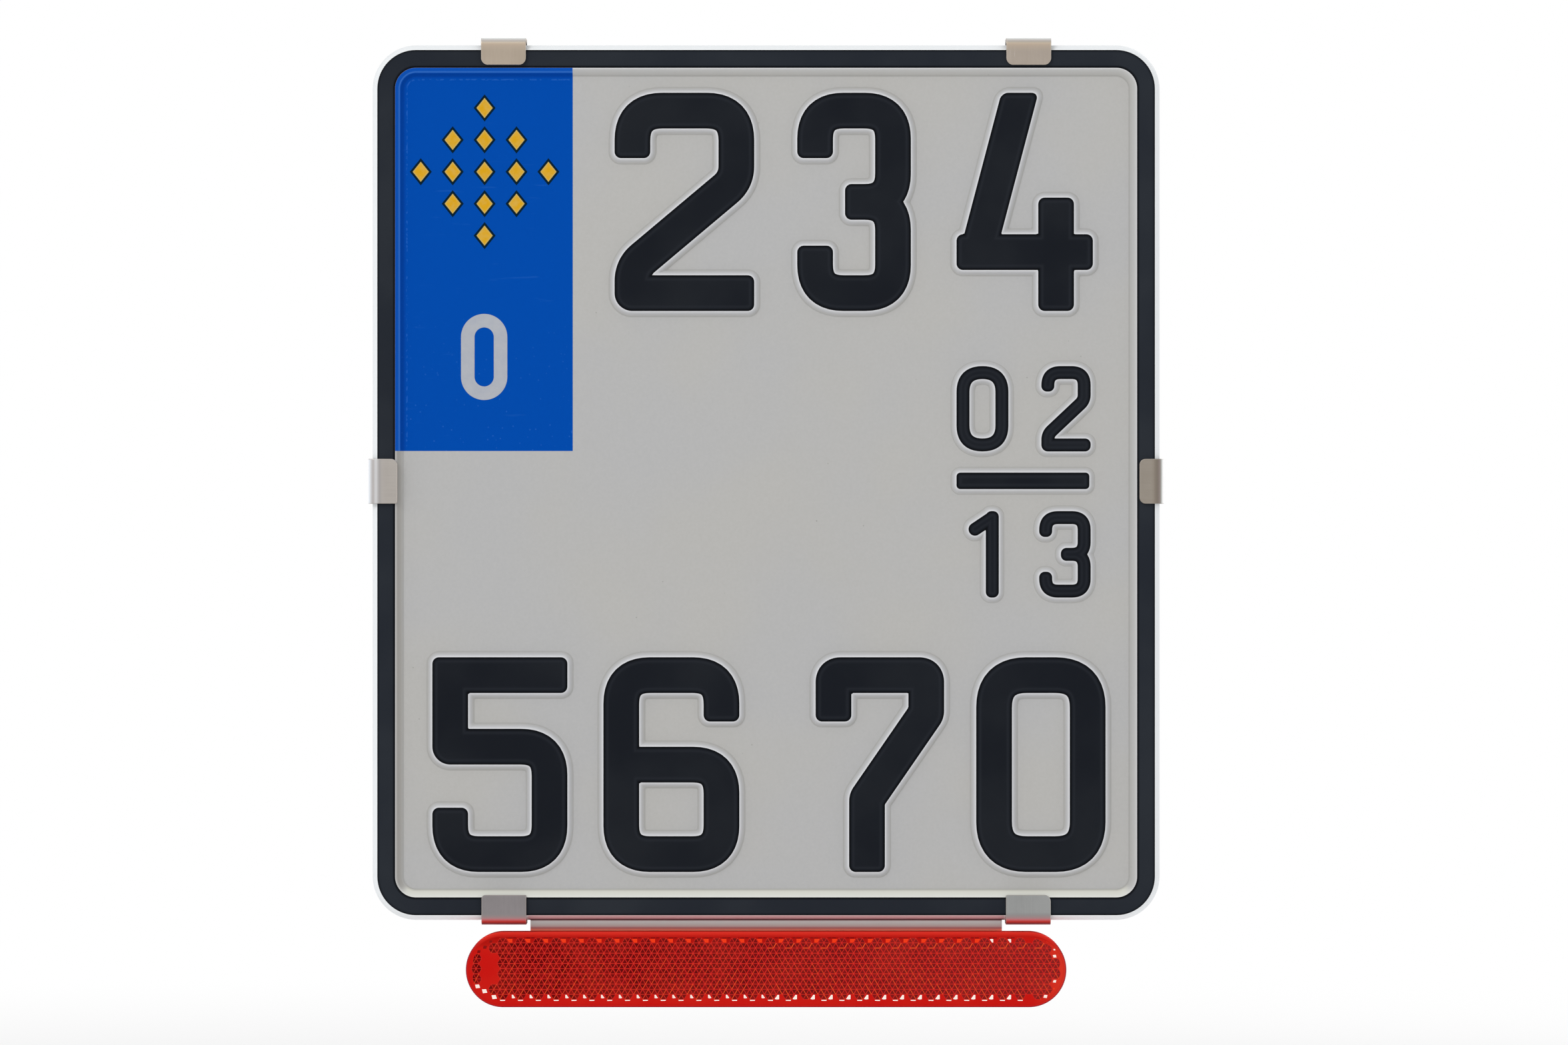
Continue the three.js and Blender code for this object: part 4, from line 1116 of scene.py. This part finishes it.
# What shows in the gaps between the outermost cells, painted glints and lit flats and dark dashes, as
# corners from the middle of a gap, in shares of a cell's side: written for the left half, and mirrored in
# the right one
gapShares = dict(
    flat=[(-0.45, 0.05), (0.11, 0.05), (0.11, 0.67), (-0.8, 0.67)],
    longDash=[(-0.58, 0.76), (0.11, 0.76), (0.11, 0.93), (-0.58, 0.93)],
    shortDash=[(0.28, 0.76), (0.74, 0.76), (0.74, 0.93), (0.28, 0.93)],
    glint=[(0.02, 0.08), (0.22, 0.06), (0.6, 0.6), (0.3, 0.66), (0.02, 0.62)],
    underCell=[(-0.47, 0.93), (0.44, 0.93), (0.36, 1.08), (-0.4, 1.1)],
    atEnd=[(-0.22, -0.3), (0.38, -0.26), (0.24, 0.3), (-0.4, 0.22)],
)


def insideWall(x, z, room, arcX):
    # points past the inside of the wall are drawn back to it, towards the middle of their round end
    beyond = np.maximum(np.abs(x) - arcX, 0)
    scale = np.minimum(room / np.maximum(np.hypot(beyond, z), 1e-9), 1)
    scale = np.where(beyond > 0, scale, 1)
    return x - np.sign(x) * beyond * (1 - scale), z * scale


def cellCentres(room, arcX):
    # centres of the hexagons that fit inside the wall, in columns half a cell out of step, apart from the
    # plain oval; above and below they fit whole, and at the round ends the wall may cut them
    side = reflector['side']
    column, row = np.meshgrid(np.arange(-40, 41), np.arange(-6, 7), indexing='ij')
    x = column * side * 1.5 + reflector['cellShift']
    z = (row + (column % 2) / 2) * side * math.sqrt(3)
    fits = np.hypot(np.maximum(np.abs(x) - arcX, 0), z) <= room - reflector['cutOff']
    fits &= np.abs(z) + side * math.sqrt(3) / 2 <= room
    fromBare = np.hypot((x - reflector['bareMiddle'][0]) / reflector['bareSize'][0],
                        (z - reflector['bareMiddle'][1]) / reflector['bareSize'][1])
    fits &= fromBare > 1
    return x[fits], z[fits]


def gapShapes(room, arcX):
    # the polygons between the outermost cells and the wall, each with the name of its colour
    side = reflector['side']
    height = side * math.sqrt(3) / 2
    random = np.random.default_rng(41)
    shapes = []

    def add(name, colour, x, z, flipX, flipZ, size=1.0):
        corners = np.array(gapShares[name]) * side * [flipX * size, flipZ * size]
        corners += [x, z + reflector['cellRise']]
        corners = insideWall(corners[:, 0], corners[:, 1], room + reflector['pastWall'], arcX)
        shapes.append((np.column_stack(corners), colour))

    for column in range(-29, 30):
        x = column * side * 1.5 + reflector['cellShift']
        half = -1 if x > 0 else 1
        if column % 2:
            if random.uniform() > reflector['missingShare']:
                add('underCell', 'glint', x, -height * 5, half, -1)
            continue
        add('longDash', 'dark', x, height * 5, half, 1)
        add('shortDash', 'dark', x, height * 5, half, 1)
        add('glint', 'glint', x, -height * 5, half, -1, 1.0 if half > 0 else reflector['rightGlint'])
        isLit = min(abs(x - place) for place in reflector['topGlints']) < side
        add('glint' if isLit else 'flat', 'glint' if isLit else 'flat', x, height * 5, half, 1)
    for x, z, size, colour in reflector['endShapes']:
        add('atEnd', colour, x, z, np.sign(x), np.sign(z), size)
    return shapes


def openLoops(faceCorners, count):
    # closed runs of the edges that belong to one face only
    edges = np.stack([faceCorners, np.roll(faceCorners, -1, axis=1)], -1).reshape(-1, 2)
    isOpen = ~np.isin(edges[:, 1] * count + edges[:, 0], edges[:, 0] * count + edges[:, 1])
    nextOf = dict(edges[isOpen].tolist())
    loops = []
    while nextOf:
        start = next(iter(nextOf))
        loop = [start]
        while (after := nextOf.pop(loop[-1])) != start:
            loop.append(after)
        loops.append(loop)
    return loops


def lensPlastic():
    # clear red acrylic over corner cubes, moulded, with a smooth skin; the cubes' dark faces and bright edges
    # are painted reflection and highlights, and the border has painted light and shade
    material, tree, inputs, coords = startMaterial('mouldedRedAcrylic',
                                                   {'IOR': 1.49, 'Specular IOR Level': 0.03})
    corner, glow, colour = [addNode(tree, 'ShaderNodeAttribute', {'attribute_name': name}, out='Color')
                            for name in ('cell', 'glow', 'shade')]
    upward, inset = [addNode(tree, 'ShaderNodeAttribute', {'attribute_name': name}, out='Fac')
                     for name in ('upward', 'inset')]
    corners, glows = [addNode(tree, 'ShaderNodeSeparateColor', {}, {0: triple}).node.outputs
                      for triple in (corner, glow)]
    # painted highlights: the lines round each cube and between its faces, and their glow
    for channel, width in enumerate(reflector['lineWidths']):
        thin = width / 2 / (reflector['side'] * math.sqrt(3) / 2)
        line = addNode(tree, 'ShaderNodeMapRange', smooth, {
            'Value': corners[channel], 'From Min': thin * 0.5, 'From Max': thin * 1.5,
            'To Min': 0.85, 'To Max': 0})
        bright = laidOver(tree, reflector['line'], reflector['hot'], glows[channel], 0, 1, settings={})
        colour = addNode(tree, 'ShaderNodeMix', forColours,
                         {share: line, under: colour, over: bright}, mixOut)
    axes = addNode(tree, 'ShaderNodeSeparateXYZ', {}, {0: coords}).node.outputs
    plain = addNode(tree, 'ShaderNodeMath', {'operation': 'SUBTRACT'},
                    {0: 1.0, 1: glow.node.outputs['Alpha']})
    # painted light on the border towards the right end, and warmer clouds
    toRight, hollow = [
        addNode(tree, 'ShaderNodeMapRange', smooth, {
            'Value': axes['X'], 'From Min': reflector[ends][0] * mm, 'From Max': reflector[ends][1] * mm,
            'To Min': atStart, 'To Max': atEnd})
        for ends, atStart, atEnd in (('warmEnds', 0, 0.45), ('hollowEnds', 1, 0.3))]
    cloud = addNode(tree, 'ShaderNodeTexNoise', {},
                    {'Vector': coords, 'Scale': perSize(reflector['clouds']), 'Detail': 2})
    warmthAndLight = addNode(tree, 'ShaderNodeMapRange', smooth,
                     {'Value': cloud, 'From Min': 0.35, 'From Max': 0.7, 'To Max': 0.08})
    toRight = addNode(tree, 'ShaderNodeMath', product, {0: toRight, 1: plain})
    warmthAndLight = addNode(tree, 'ShaderNodeMath', greater, {0: warmthAndLight, 1: toRight})
    colour = laidOver(tree, colour, reflector['bodyWarm'], warmthAndLight, 0, 1, settings={})
    # painted shade on the border in the hollow over the cells
    middleZ = sum(corner[2] for corner in boxOf('reflector_lens')) / 2
    height = addNode(tree, 'ShaderNodeMath', {'operation': 'MULTIPLY_ADD'},
                     {0: axes['Z'], 1: 1 / mm, 2: -middleZ})
    hollow = addNode(tree, 'ShaderNodeMath', product, {0: hollow, 1: plain})
    colour = bandsOver(tree, colour, height, reflector['heightBands'], hollow)
    # painted shade along the edge below and at the sides, and a painted highlight along the one above
    around, above = [bandsOver(tree, colour, inset, reflector[name]) for name in ('edgeBands', 'topBands')]
    facing = addNode(tree, 'ShaderNodeMapRange', smooth,
                     {'Value': upward, 'From Min': 0.5, 'From Max': 0.95})
    colour = addNode(tree, 'ShaderNodeMix', forColours, {share: facing, under: around, over: above}, mixOut)
    tree.links.new(colour, inputs['Base Color'])
    matt = addNode(tree, 'ShaderNodeMapRange', {},
                   {'Value': inset, 'From Max': reflector['edgeRadius'], 'To Min': 0.8, 'To Max': 0.16})
    tree.links.new(matt, inputs['Roughness'])
    return material


def cellShades(x, z, radius):
    # painted reflection and highlights of the corner cubes: colours of the six faces of each cell, paler to
    # the right, and the glow of each face's three sides: bright spokes run one way in the left half and the
    # other way in the right, and most strongly low down
    random = np.random.default_rng(23)
    count = len(x)
    toRight = np.clip(x / reflector['paleOver'] + 0.5, 0, 1).repeat(6)[:, None]
    mottle = random.uniform(0, 1, (count * 6, 1)) ** 1.4
    plain = (1 - mottle) * toLinear(reflector['face']) + mottle * np.array(toLinear(reflector['faceWarm']))
    weight = toRight ** 1.5 * reflector['paleShare']
    shades = (1 - weight) * plain + weight * np.array(toLinear(reflector['faceRight']))
    glow = np.ones((count, 6, 4))
    glow[..., :3] = random.uniform(0, reflector['restGlow'], (count, 6, 3))
    atMiddle, less = reflector['spokeGlow']
    lower = np.clip(atMiddle - z / radius * less, 0, 1) * random.uniform(*reflector['spokeSpread'], count)
    upperSpoke = np.where(x < 0, 1, 2)  # corner where the bright spoke ends, counted in sixths of a turn
    cell = np.arange(count)
    for corner in (upperSpoke, upperSpoke + 3):
        glow[cell, corner, 2] = lower
        glow[cell, (corner - 1) % 6, 1] = lower
    step = reflector['side'] * math.sqrt(3) / 2
    for rows, sides in ((5, (4, 5)), (4, (2,)), (3, (1,))):  # lit lines under the top cells, from both sides
        lit = (x > 0) & (np.abs(z - step * rows) < step / 4)
        for corner in sides:
            glow[lit, corner, 0] = reflector['litGlow']
    return shades, glow.reshape(-1, 4)


def makeLens():
    # a tray whose rounded outline is carried through its section; its front is filled by the cells of the
    # corner cubes and by a plain border round them, with the painted glints, lit flats and dark dashes that
    # show in the gaps
    low, high = boxOf('reflector_lens')
    middle = (low + high) / 2
    radius = (high[2] - low[2]) / 2
    arcX = (high[0] - low[0]) / 2 - radius
    quarter = np.linspace(0, np.pi / 2, 7)
    edge = np.column_stack([reflector['edgeRadius'] * (1 - np.cos(quarter)),
                            low[1] + reflector['edgeRadius'] * (1 - np.sin(quarter))])
    thick = reflector['wall']
    wall = [(thick, low[1] + reflector['faceThickness']), (thick, high[1]), (0, high[1])]
    profile = np.concatenate([wall, edge, [(inset, low[1]) for inset in reflector['linePlaces']]])
    centres, directions = roundedOutline(arcX + radius, radius, radius, 24, 2)
    place = centres + directions * radius
    # the round ends have no straight side, so some of its points lie on each other
    isNew = np.linalg.norm(place - np.roll(place, 1, axis=0), axis=1) > 1e-6
    outline = centres[isNew], directions[isNew]
    rings = ringsAlong(outline, radius, profile, middle)
    around = rings.shape[1]
    ringFaces = gridFaces(len(rings), around, closeColumns=True).tolist() + [list(range(around))]
    room = radius - thick - reflector['margin']
    x, z = cellCentres(room, arcX)
    angle = np.arange(6) * np.pi / 3
    cornerX = (x[:, None] + reflector['side'] * np.cos(angle)).ravel()
    cornerZ = (z[:, None] + reflector['side'] * np.sin(angle)).ravel()
    keys = np.column_stack([cornerX - reflector['cellShift'], cornerZ]) / reflector['side']
    keys = np.round(keys * 64).astype(int)
    first, inverse = np.unique(keys, axis=0, return_index=True, return_inverse=True)[1:]
    cornerCount = len(first)
    corners = inverse.reshape(-1, 6)
    shapes = gapShapes(room, arcX)
    rise = reflector['cellRise']
    cutCorners = insideWall(cornerX[first], cornerZ[first] + rise, room, arcX)
    flat = np.concatenate([np.column_stack(cutCorners), np.column_stack([x, z + rise]),
                           *[shape for shape, colour in shapes]])
    frontPoints = np.insert(flat, 1, 0, axis=1) + [middle[0], low[1], middle[2]]
    base = len(rings) * around
    points = np.concatenate([rings.reshape(-1, 3), frontPoints])
    centres = np.repeat(np.arange(len(x)), 6) + base + cornerCount
    cells = np.column_stack([centres, corners.ravel() + base, np.roll(corners, -1, axis=1).ravel() + base])
    starts = base + cornerCount + len(x) + np.cumsum([0] + [len(shape) for shape, colour in shapes])
    patches = [list(range(start, end)) for start, end in zip(starts[:-1], starts[1:])]
    loops = [[base + k for k in loop] for loop in openLoops(corners, cornerCount)]
    loops = [list(range(base - around, base))] + loops + patches
    numbers = [k for loop in loops for k in loop]
    outlines = [[Vector((points[k][0], points[k][2], 0)) for k in loop] for loop in loops]
    border = [[numbers[k] for k in triangle] for triangle in tessellate_polygon(outlines)]
    faces = ringFaces + cells.tolist() + border + patches
    sizes = np.array([len(face) for face in faces])
    cellFaces = slice(len(ringFaces), len(ringFaces) + len(cells))
    cell = np.ones((sizes.sum(), 4))
    cellStart = sizes[:len(ringFaces)].sum()
    cell[cellStart:cellStart + len(cells) * 3, :3] = np.tile(np.eye(3), (len(cells), 1))
    shade = np.tile(toLinear(reflector['body']), (len(faces), 1))
    glow = np.zeros((len(faces), 4))
    shade[cellFaces], glow[cellFaces] = cellShades(x, z, radius)
    shade[-len(patches):] = [toLinear(reflector[colour]) for shape, colour in shapes]
    glow[-len(patches):, 3] = 1
    ringInset = profile[:, 0].copy()
    ringInset[2] = -reflector['wallReach']
    inset = np.concatenate([np.repeat(ringInset, around), np.full(len(flat), thick)])
    upward = np.concatenate([np.tile(outline[1][:, 1], len(rings)), np.zeros(len(flat))])
    piece = makePiece('reflector_lens_red', points, faces, [lensPlastic()], 40, attributes=[
        ('cell', 'FLOAT_COLOR', 'CORNER', cell), ('glow', 'FLOAT_COLOR', 'FACE', glow),
        ('shade', 'FLOAT_COLOR', 'FACE', shade), ('inset', 'FLOAT', 'POINT', inset),
        ('upward', 'FLOAT', 'POINT', upward)])
    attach(piece, 'root')
    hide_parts('reflector_lens')


makeLens()
print('reflector done')


# Foam strips and tape
foam = dict(
    edge=0.5,
    cutEdge=0.4,
    cornerRadius=1.0,
    tapeCornerRadius=2.0,
    pore=0.45,
    tapePore=0.3,
    poreDepth=0.08,
    clouds=4,
    dark='#232426',
    pale='#3a3b3e',
)


def foamRubber(name, pore):
    # closed-cell foam rubber, cut from sheet: matt, finely pitted, a little paler in patches
    material, tree, inputs, coords = startMaterial(name, {'Roughness': 0.95, 'Specular IOR Level': 0.3})
    cells = addNode(tree, 'ShaderNodeTexVoronoi', {}, {'Vector': coords, 'Scale': perSize(pore)}, 'Distance')
    cloud = addNode(tree, 'ShaderNodeTexNoise', {},
                    {'Vector': coords, 'Scale': perSize(foam['clouds']), 'Detail': 3})
    colour = laidOver(tree, foam['dark'], foam['pale'], cells, 0, 1, settings={})
    colour = laidOver(tree, colour, foam['pale'], cloud, 0.4, 0.7, 0.4)
    tree.links.new(colour, inputs['Base Color'])
    bump = addNode(tree, 'ShaderNodeBump', {}, {'Height': cells, 'Distance': foam['poreDepth'] * mm})
    tree.links.new(bump, inputs['Normal'])
    return material


def makeFoam(node, name, cornerRadius, material):
    # a strip whose sides swell a little between its two glued faces, by the root of a sine
    low, high = boxOf(node)
    size = (high - low) / 2
    turn = np.linspace(0, np.pi, 15)
    depth = high[1] - (high[1] - low[1]) * (1 - np.cos(turn)) / 2
    inset = foam['edge'] * (1 - np.sqrt(np.clip(np.sin(turn), 0, 1)))
    face = foam['edge'] + foam['cutEdge']
    profile = np.concatenate([[(face, high[1])], np.column_stack([inset, depth]), [(face, low[1])]])
    outline = roundedOutline(size[0], size[2], cornerRadius, 8, 60)
    points, faces = loftBody(ringsAlong(outline, cornerRadius, profile, (low + high) / 2))
    piece = makePiece(name, points, faces, [material])
    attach(piece, 'root')
    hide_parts(node)


stripFoam = foamRubber('closedCellFoam', foam['pore'])
for node in ('left_foam_strip', 'right_foam_strip', 'top_foam_strip', 'bottom_foam_strip'):
    makeFoam(node, f'{node}_cut', foam['cornerRadius'], stripFoam)
makeFoam('reflector_tape', 'reflector_tape_foam', foam['tapeCornerRadius'],
         foamRubber('acrylicFoamTape', foam['tapePore']))
print('foam done')


# Screws, washers and lock nuts
fastener = dict(
    pitch=1.0,
    threadDepth=0.55,
    runOut=1.2,  # over which the thread ends under the head
    tipChamfer=0.8,
    shank=2.95,
    headDiameter=13.6,
    domeDiameter=10.5,
    topDiameter=6.4,
    headHeight=3.3,
    flange=1.0,
    flangeEdge=0.15,
    socket=4.0,
    socketChamfer=0.25,
    socketDepth=2.0,
    nutAcross=10.0,
    nutHeight=4.0,
    nutChamferShare=0.97,
    nutBore=3.02,
    nutLeadIn=0.3,
    collarRadius=4.3,
    collarEdge=0.25,
    nylonDepth=0.12,
    washerOuter=6.0,
    washerInner=3.2,
    washerEdge=0.12,
    turnSteps=48,
    clouds=2.2,
    grain=0.3,
    nylonClouds=0.8,
    bluish='#a3a8af',
    yellowed='#bfbfbb',
    nylon='#c9cdd2',
    nylonPale='#e2e4e4',
)
turn = np.arange(fastener['turnSteps']) / fastener['turnSteps'] * 2 * np.pi


def zincPlate():
    # bright zinc plate on steel: bluish silver, yellowed in clouds, with a fine grain in its gloss
    material, tree, inputs, coords = startMaterial('zincPlatedSteel', {'Metallic': 1.0})
    cloud, fine = [
        addNode(tree, 'ShaderNodeTexNoise', {}, {'Vector': coords, 'Scale': perSize(size), 'Detail': detail})
        for size, detail in ((fastener['clouds'], 4), (fastener['grain'], 2))]
    colour = laidOver(tree, fastener['bluish'], fastener['yellowed'], cloud, 0.3, 0.7)
    tree.links.new(colour, inputs['Base Color'])
    sheen = addNode(tree, 'ShaderNodeMapRange', {},
                    {'Value': fine, 'From Min': 0.3, 'From Max': 0.7, 'To Min': 0.25, 'To Max': 0.45})
    tree.links.new(sheen, inputs['Roughness'])
    return material


def nylonRing():
    # the nut's locking ring: natural nylon, waxy white
    material, tree, inputs, coords = startMaterial('naturalNylon', {'Roughness': 0.45, 'IOR': 1.53})
    cloud = addNode(tree, 'ShaderNodeTexNoise', {},
                    {'Vector': coords, 'Scale': perSize(fastener['nylonClouds']), 'Detail': 2})
    colour = laidOver(tree, fastener['nylon'], fastener['nylonPale'], cloud, 0, 1, settings={})
    tree.links.new(colour, inputs['Base Color'])
    return material


def roundRing(radius, y):
    # a ring about the screw's axis; radius and y are numbers or one value for each step of the turn
    radius = np.broadcast_to(radius, turn.shape)
    return np.stack([radius * np.cos(turn), np.broadcast_to(y, turn.shape), radius * np.sin(turn)], -1)


def hexRadius(acrossFlats):
    # distance from a hexagon's middle to its side at each step of the turn
    return acrossFlats / 2 / np.cos((turn + np.pi / 6) % (np.pi / 3) - np.pi / 6)


def screwRings(tipY, seatY):
    # from the tip up the thread, whose radius falls and rises once each pitch along a helix, to the head: a
    # flange, a dome that is a quarter ellipse, and a hexagon socket
    shape = fastener
    rings = []
    for y in np.arange(tipY, seatY + shape['nutLeadIn'], -shape['pitch'] / 8):
        phase = (y / shape['pitch'] + turn / (2 * np.pi)) % 1
        depth = shape['threadDepth'] * np.abs(phase * 2 - 1) * np.clip((y - seatY) / shape['runOut'], 0, 1)
        chamfer = max(0.0, shape['tipChamfer'] - (tipY - y))
        rings.append(roundRing(shape['shank'] - np.maximum(depth, chamfer), y))
    head = shape['headDiameter'] / 2
    dome = shape['domeDiameter'] / 2
    top = shape['topDiameter'] / 2
    edge = shape['flangeEdge']
    profile = [(shape['shank'], 0), (head - edge, 0), (head, edge), (head, shape['flange'] - edge * 3),
               (head - edge, shape['flange'] - edge * 2), (dome + edge, shape['flange'])]
    rise = shape['headHeight'] - shape['flange']
    profile += [(top + (dome - top) * math.cos(angle), shape['flange'] + rise * math.sin(angle))
                for angle in np.linspace(0, np.pi / 2, 9)]
    profile.append((shape['socket'] / math.sqrt(3) + shape['socketChamfer'], shape['headHeight']))
    rings += [roundRing(radius, seatY - height) for radius, height in profile]
    floor = shape['headHeight'] - shape['socketDepth']
    rings += [roundRing(hexRadius(shape['socket']), seatY - height)
              for height in (shape['headHeight'] - shape['socketChamfer'], floor)]
    rings.append(roundRing(shape['nutLeadIn'], seatY - floor + shape['nutLeadIn']))
    return rings


def nutRings(faceY, backY):
    # hexagon with both ends turned to a cone, a collar drawn over the nylon ring, and the bore
    shape = fastener
    corner = hexRadius(shape['nutAcross'])
    flatRadius = shape['nutAcross'] / 2 * shape['nutChamferShare']
    turned = np.minimum(corner, flatRadius)
    drop = (corner - turned) * math.tan(math.radians(30))
    hexBack = faceY + shape['nutHeight']
    bore, lead = shape['nutBore'], shape['nutLeadIn']
    collar, edge = shape['collarRadius'], shape['collarEdge']
    nylonY = backY - shape['nylonDepth']
    return [roundRing(bore, faceY + lead), roundRing(bore + lead, faceY), roundRing(turned, faceY),
            roundRing(corner, faceY + drop), roundRing(corner, hexBack - drop), roundRing(turned, hexBack),
            roundRing(collar + edge, hexBack), roundRing(collar, hexBack + edge),
            roundRing(collar, backY - edge * 3), roundRing(collar - edge, backY - edge),
            roundRing(collar - edge * 3, backY), roundRing(collar - edge * 3.5, nylonY),
            roundRing(bore, nylonY)]


def washerRings(frontY, backY):
    # a stamped ring: its front edges are drawn in, and its rear ones broken off more widely
    outer, inner, edge = fastener['washerOuter'], fastener['washerInner'], fastener['washerEdge']
    return [roundRing(inner, frontY + edge), roundRing(inner + edge, frontY), roundRing(outer - edge, frontY),
            roundRing(outer, frontY + edge), roundRing(outer, backY - edge * 2.5),
            roundRing(outer - edge * 2.5, backY), roundRing(inner + edge, backY),
            roundRing(inner, backY - edge)]


def placeTurned(name, node, rings, hollow, materials, faceMaterials=None):
    # a turned body about the middle of its CAD node; a hollow one is closed from its last ring to its first
    low, high = boxOf(node)
    middle = (low + high) / 2
    rings = np.array(rings) + [middle[0], 0, middle[2]]
    points, faces = loftBody(rings)
    if hollow:
        faces = gridFaces(len(rings), rings.shape[1], closeRows=True, closeColumns=True)
    piece = makePiece(name, points, faces, materials, 32, faceMaterials)
    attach(piece, 'root')
    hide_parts(node)


zinc = zincPlate()
nylon = nylonRing()
for place in ('top_left', 'top_right', 'bottom_left', 'bottom_right'):
    low, high = boxOf(f'{place}_screw')
    screw = screwRings(high[1], low[1] + fastener['headHeight'])
    placeTurned(f'{place}_threaded_screw', f'{place}_screw', screw, False, [zinc])
    low, high = boxOf(f'{place}_washer')
    placeTurned(f'{place}_stamped_washer', f'{place}_washer', washerRings(low[1], high[1]), True, [zinc])
    low, high = boxOf(f'{place}_lock_nut')
    nut = nutRings(low[1], high[1])
    isNylon = np.repeat(np.arange(len(nut)) >= len(nut) - 2, fastener['turnSteps'])
    placeTurned(f'{place}_nylon_nut', f'{place}_lock_nut', nut, True, [zinc, nylon], isNylon)
print('fasteners done')


# Rear cover of the reflector
moulded = dict(
    dust=6,
    grain=0.35,
    grainDepth=0.02,
    black='#17181a',
    dusty='#2c2c2d',
)


def mouldedPlastic():
    # black ABS, moulded: satin, with the faint grain of the mould and dust in it
    material, tree, inputs, coords = startMaterial(
        'mouldedBlackAbs', {'Roughness': 0.8, 'IOR': 1.54, 'Specular IOR Level': 0.12})
    dust, grain = [
        addNode(tree, 'ShaderNodeTexNoise', {}, {'Vector': coords, 'Scale': perSize(size), 'Detail': detail})
        for size, detail in ((moulded['dust'], 4), (moulded['grain'], 2))]
    colour = laidOver(tree, moulded['black'], moulded['dusty'], dust, 0.45, 0.75, 0.5)
    tree.links.new(colour, inputs['Base Color'])
    bump = addNode(tree, 'ShaderNodeBump', {}, {'Height': grain, 'Distance': moulded['grainDepth'] * mm})
    tree.links.new(bump, inputs['Normal'])
    return material


cover = frame['nodes']['reflector_cover']
cover.data.materials.clear()
cover.data.materials.append(mouldedPlastic())
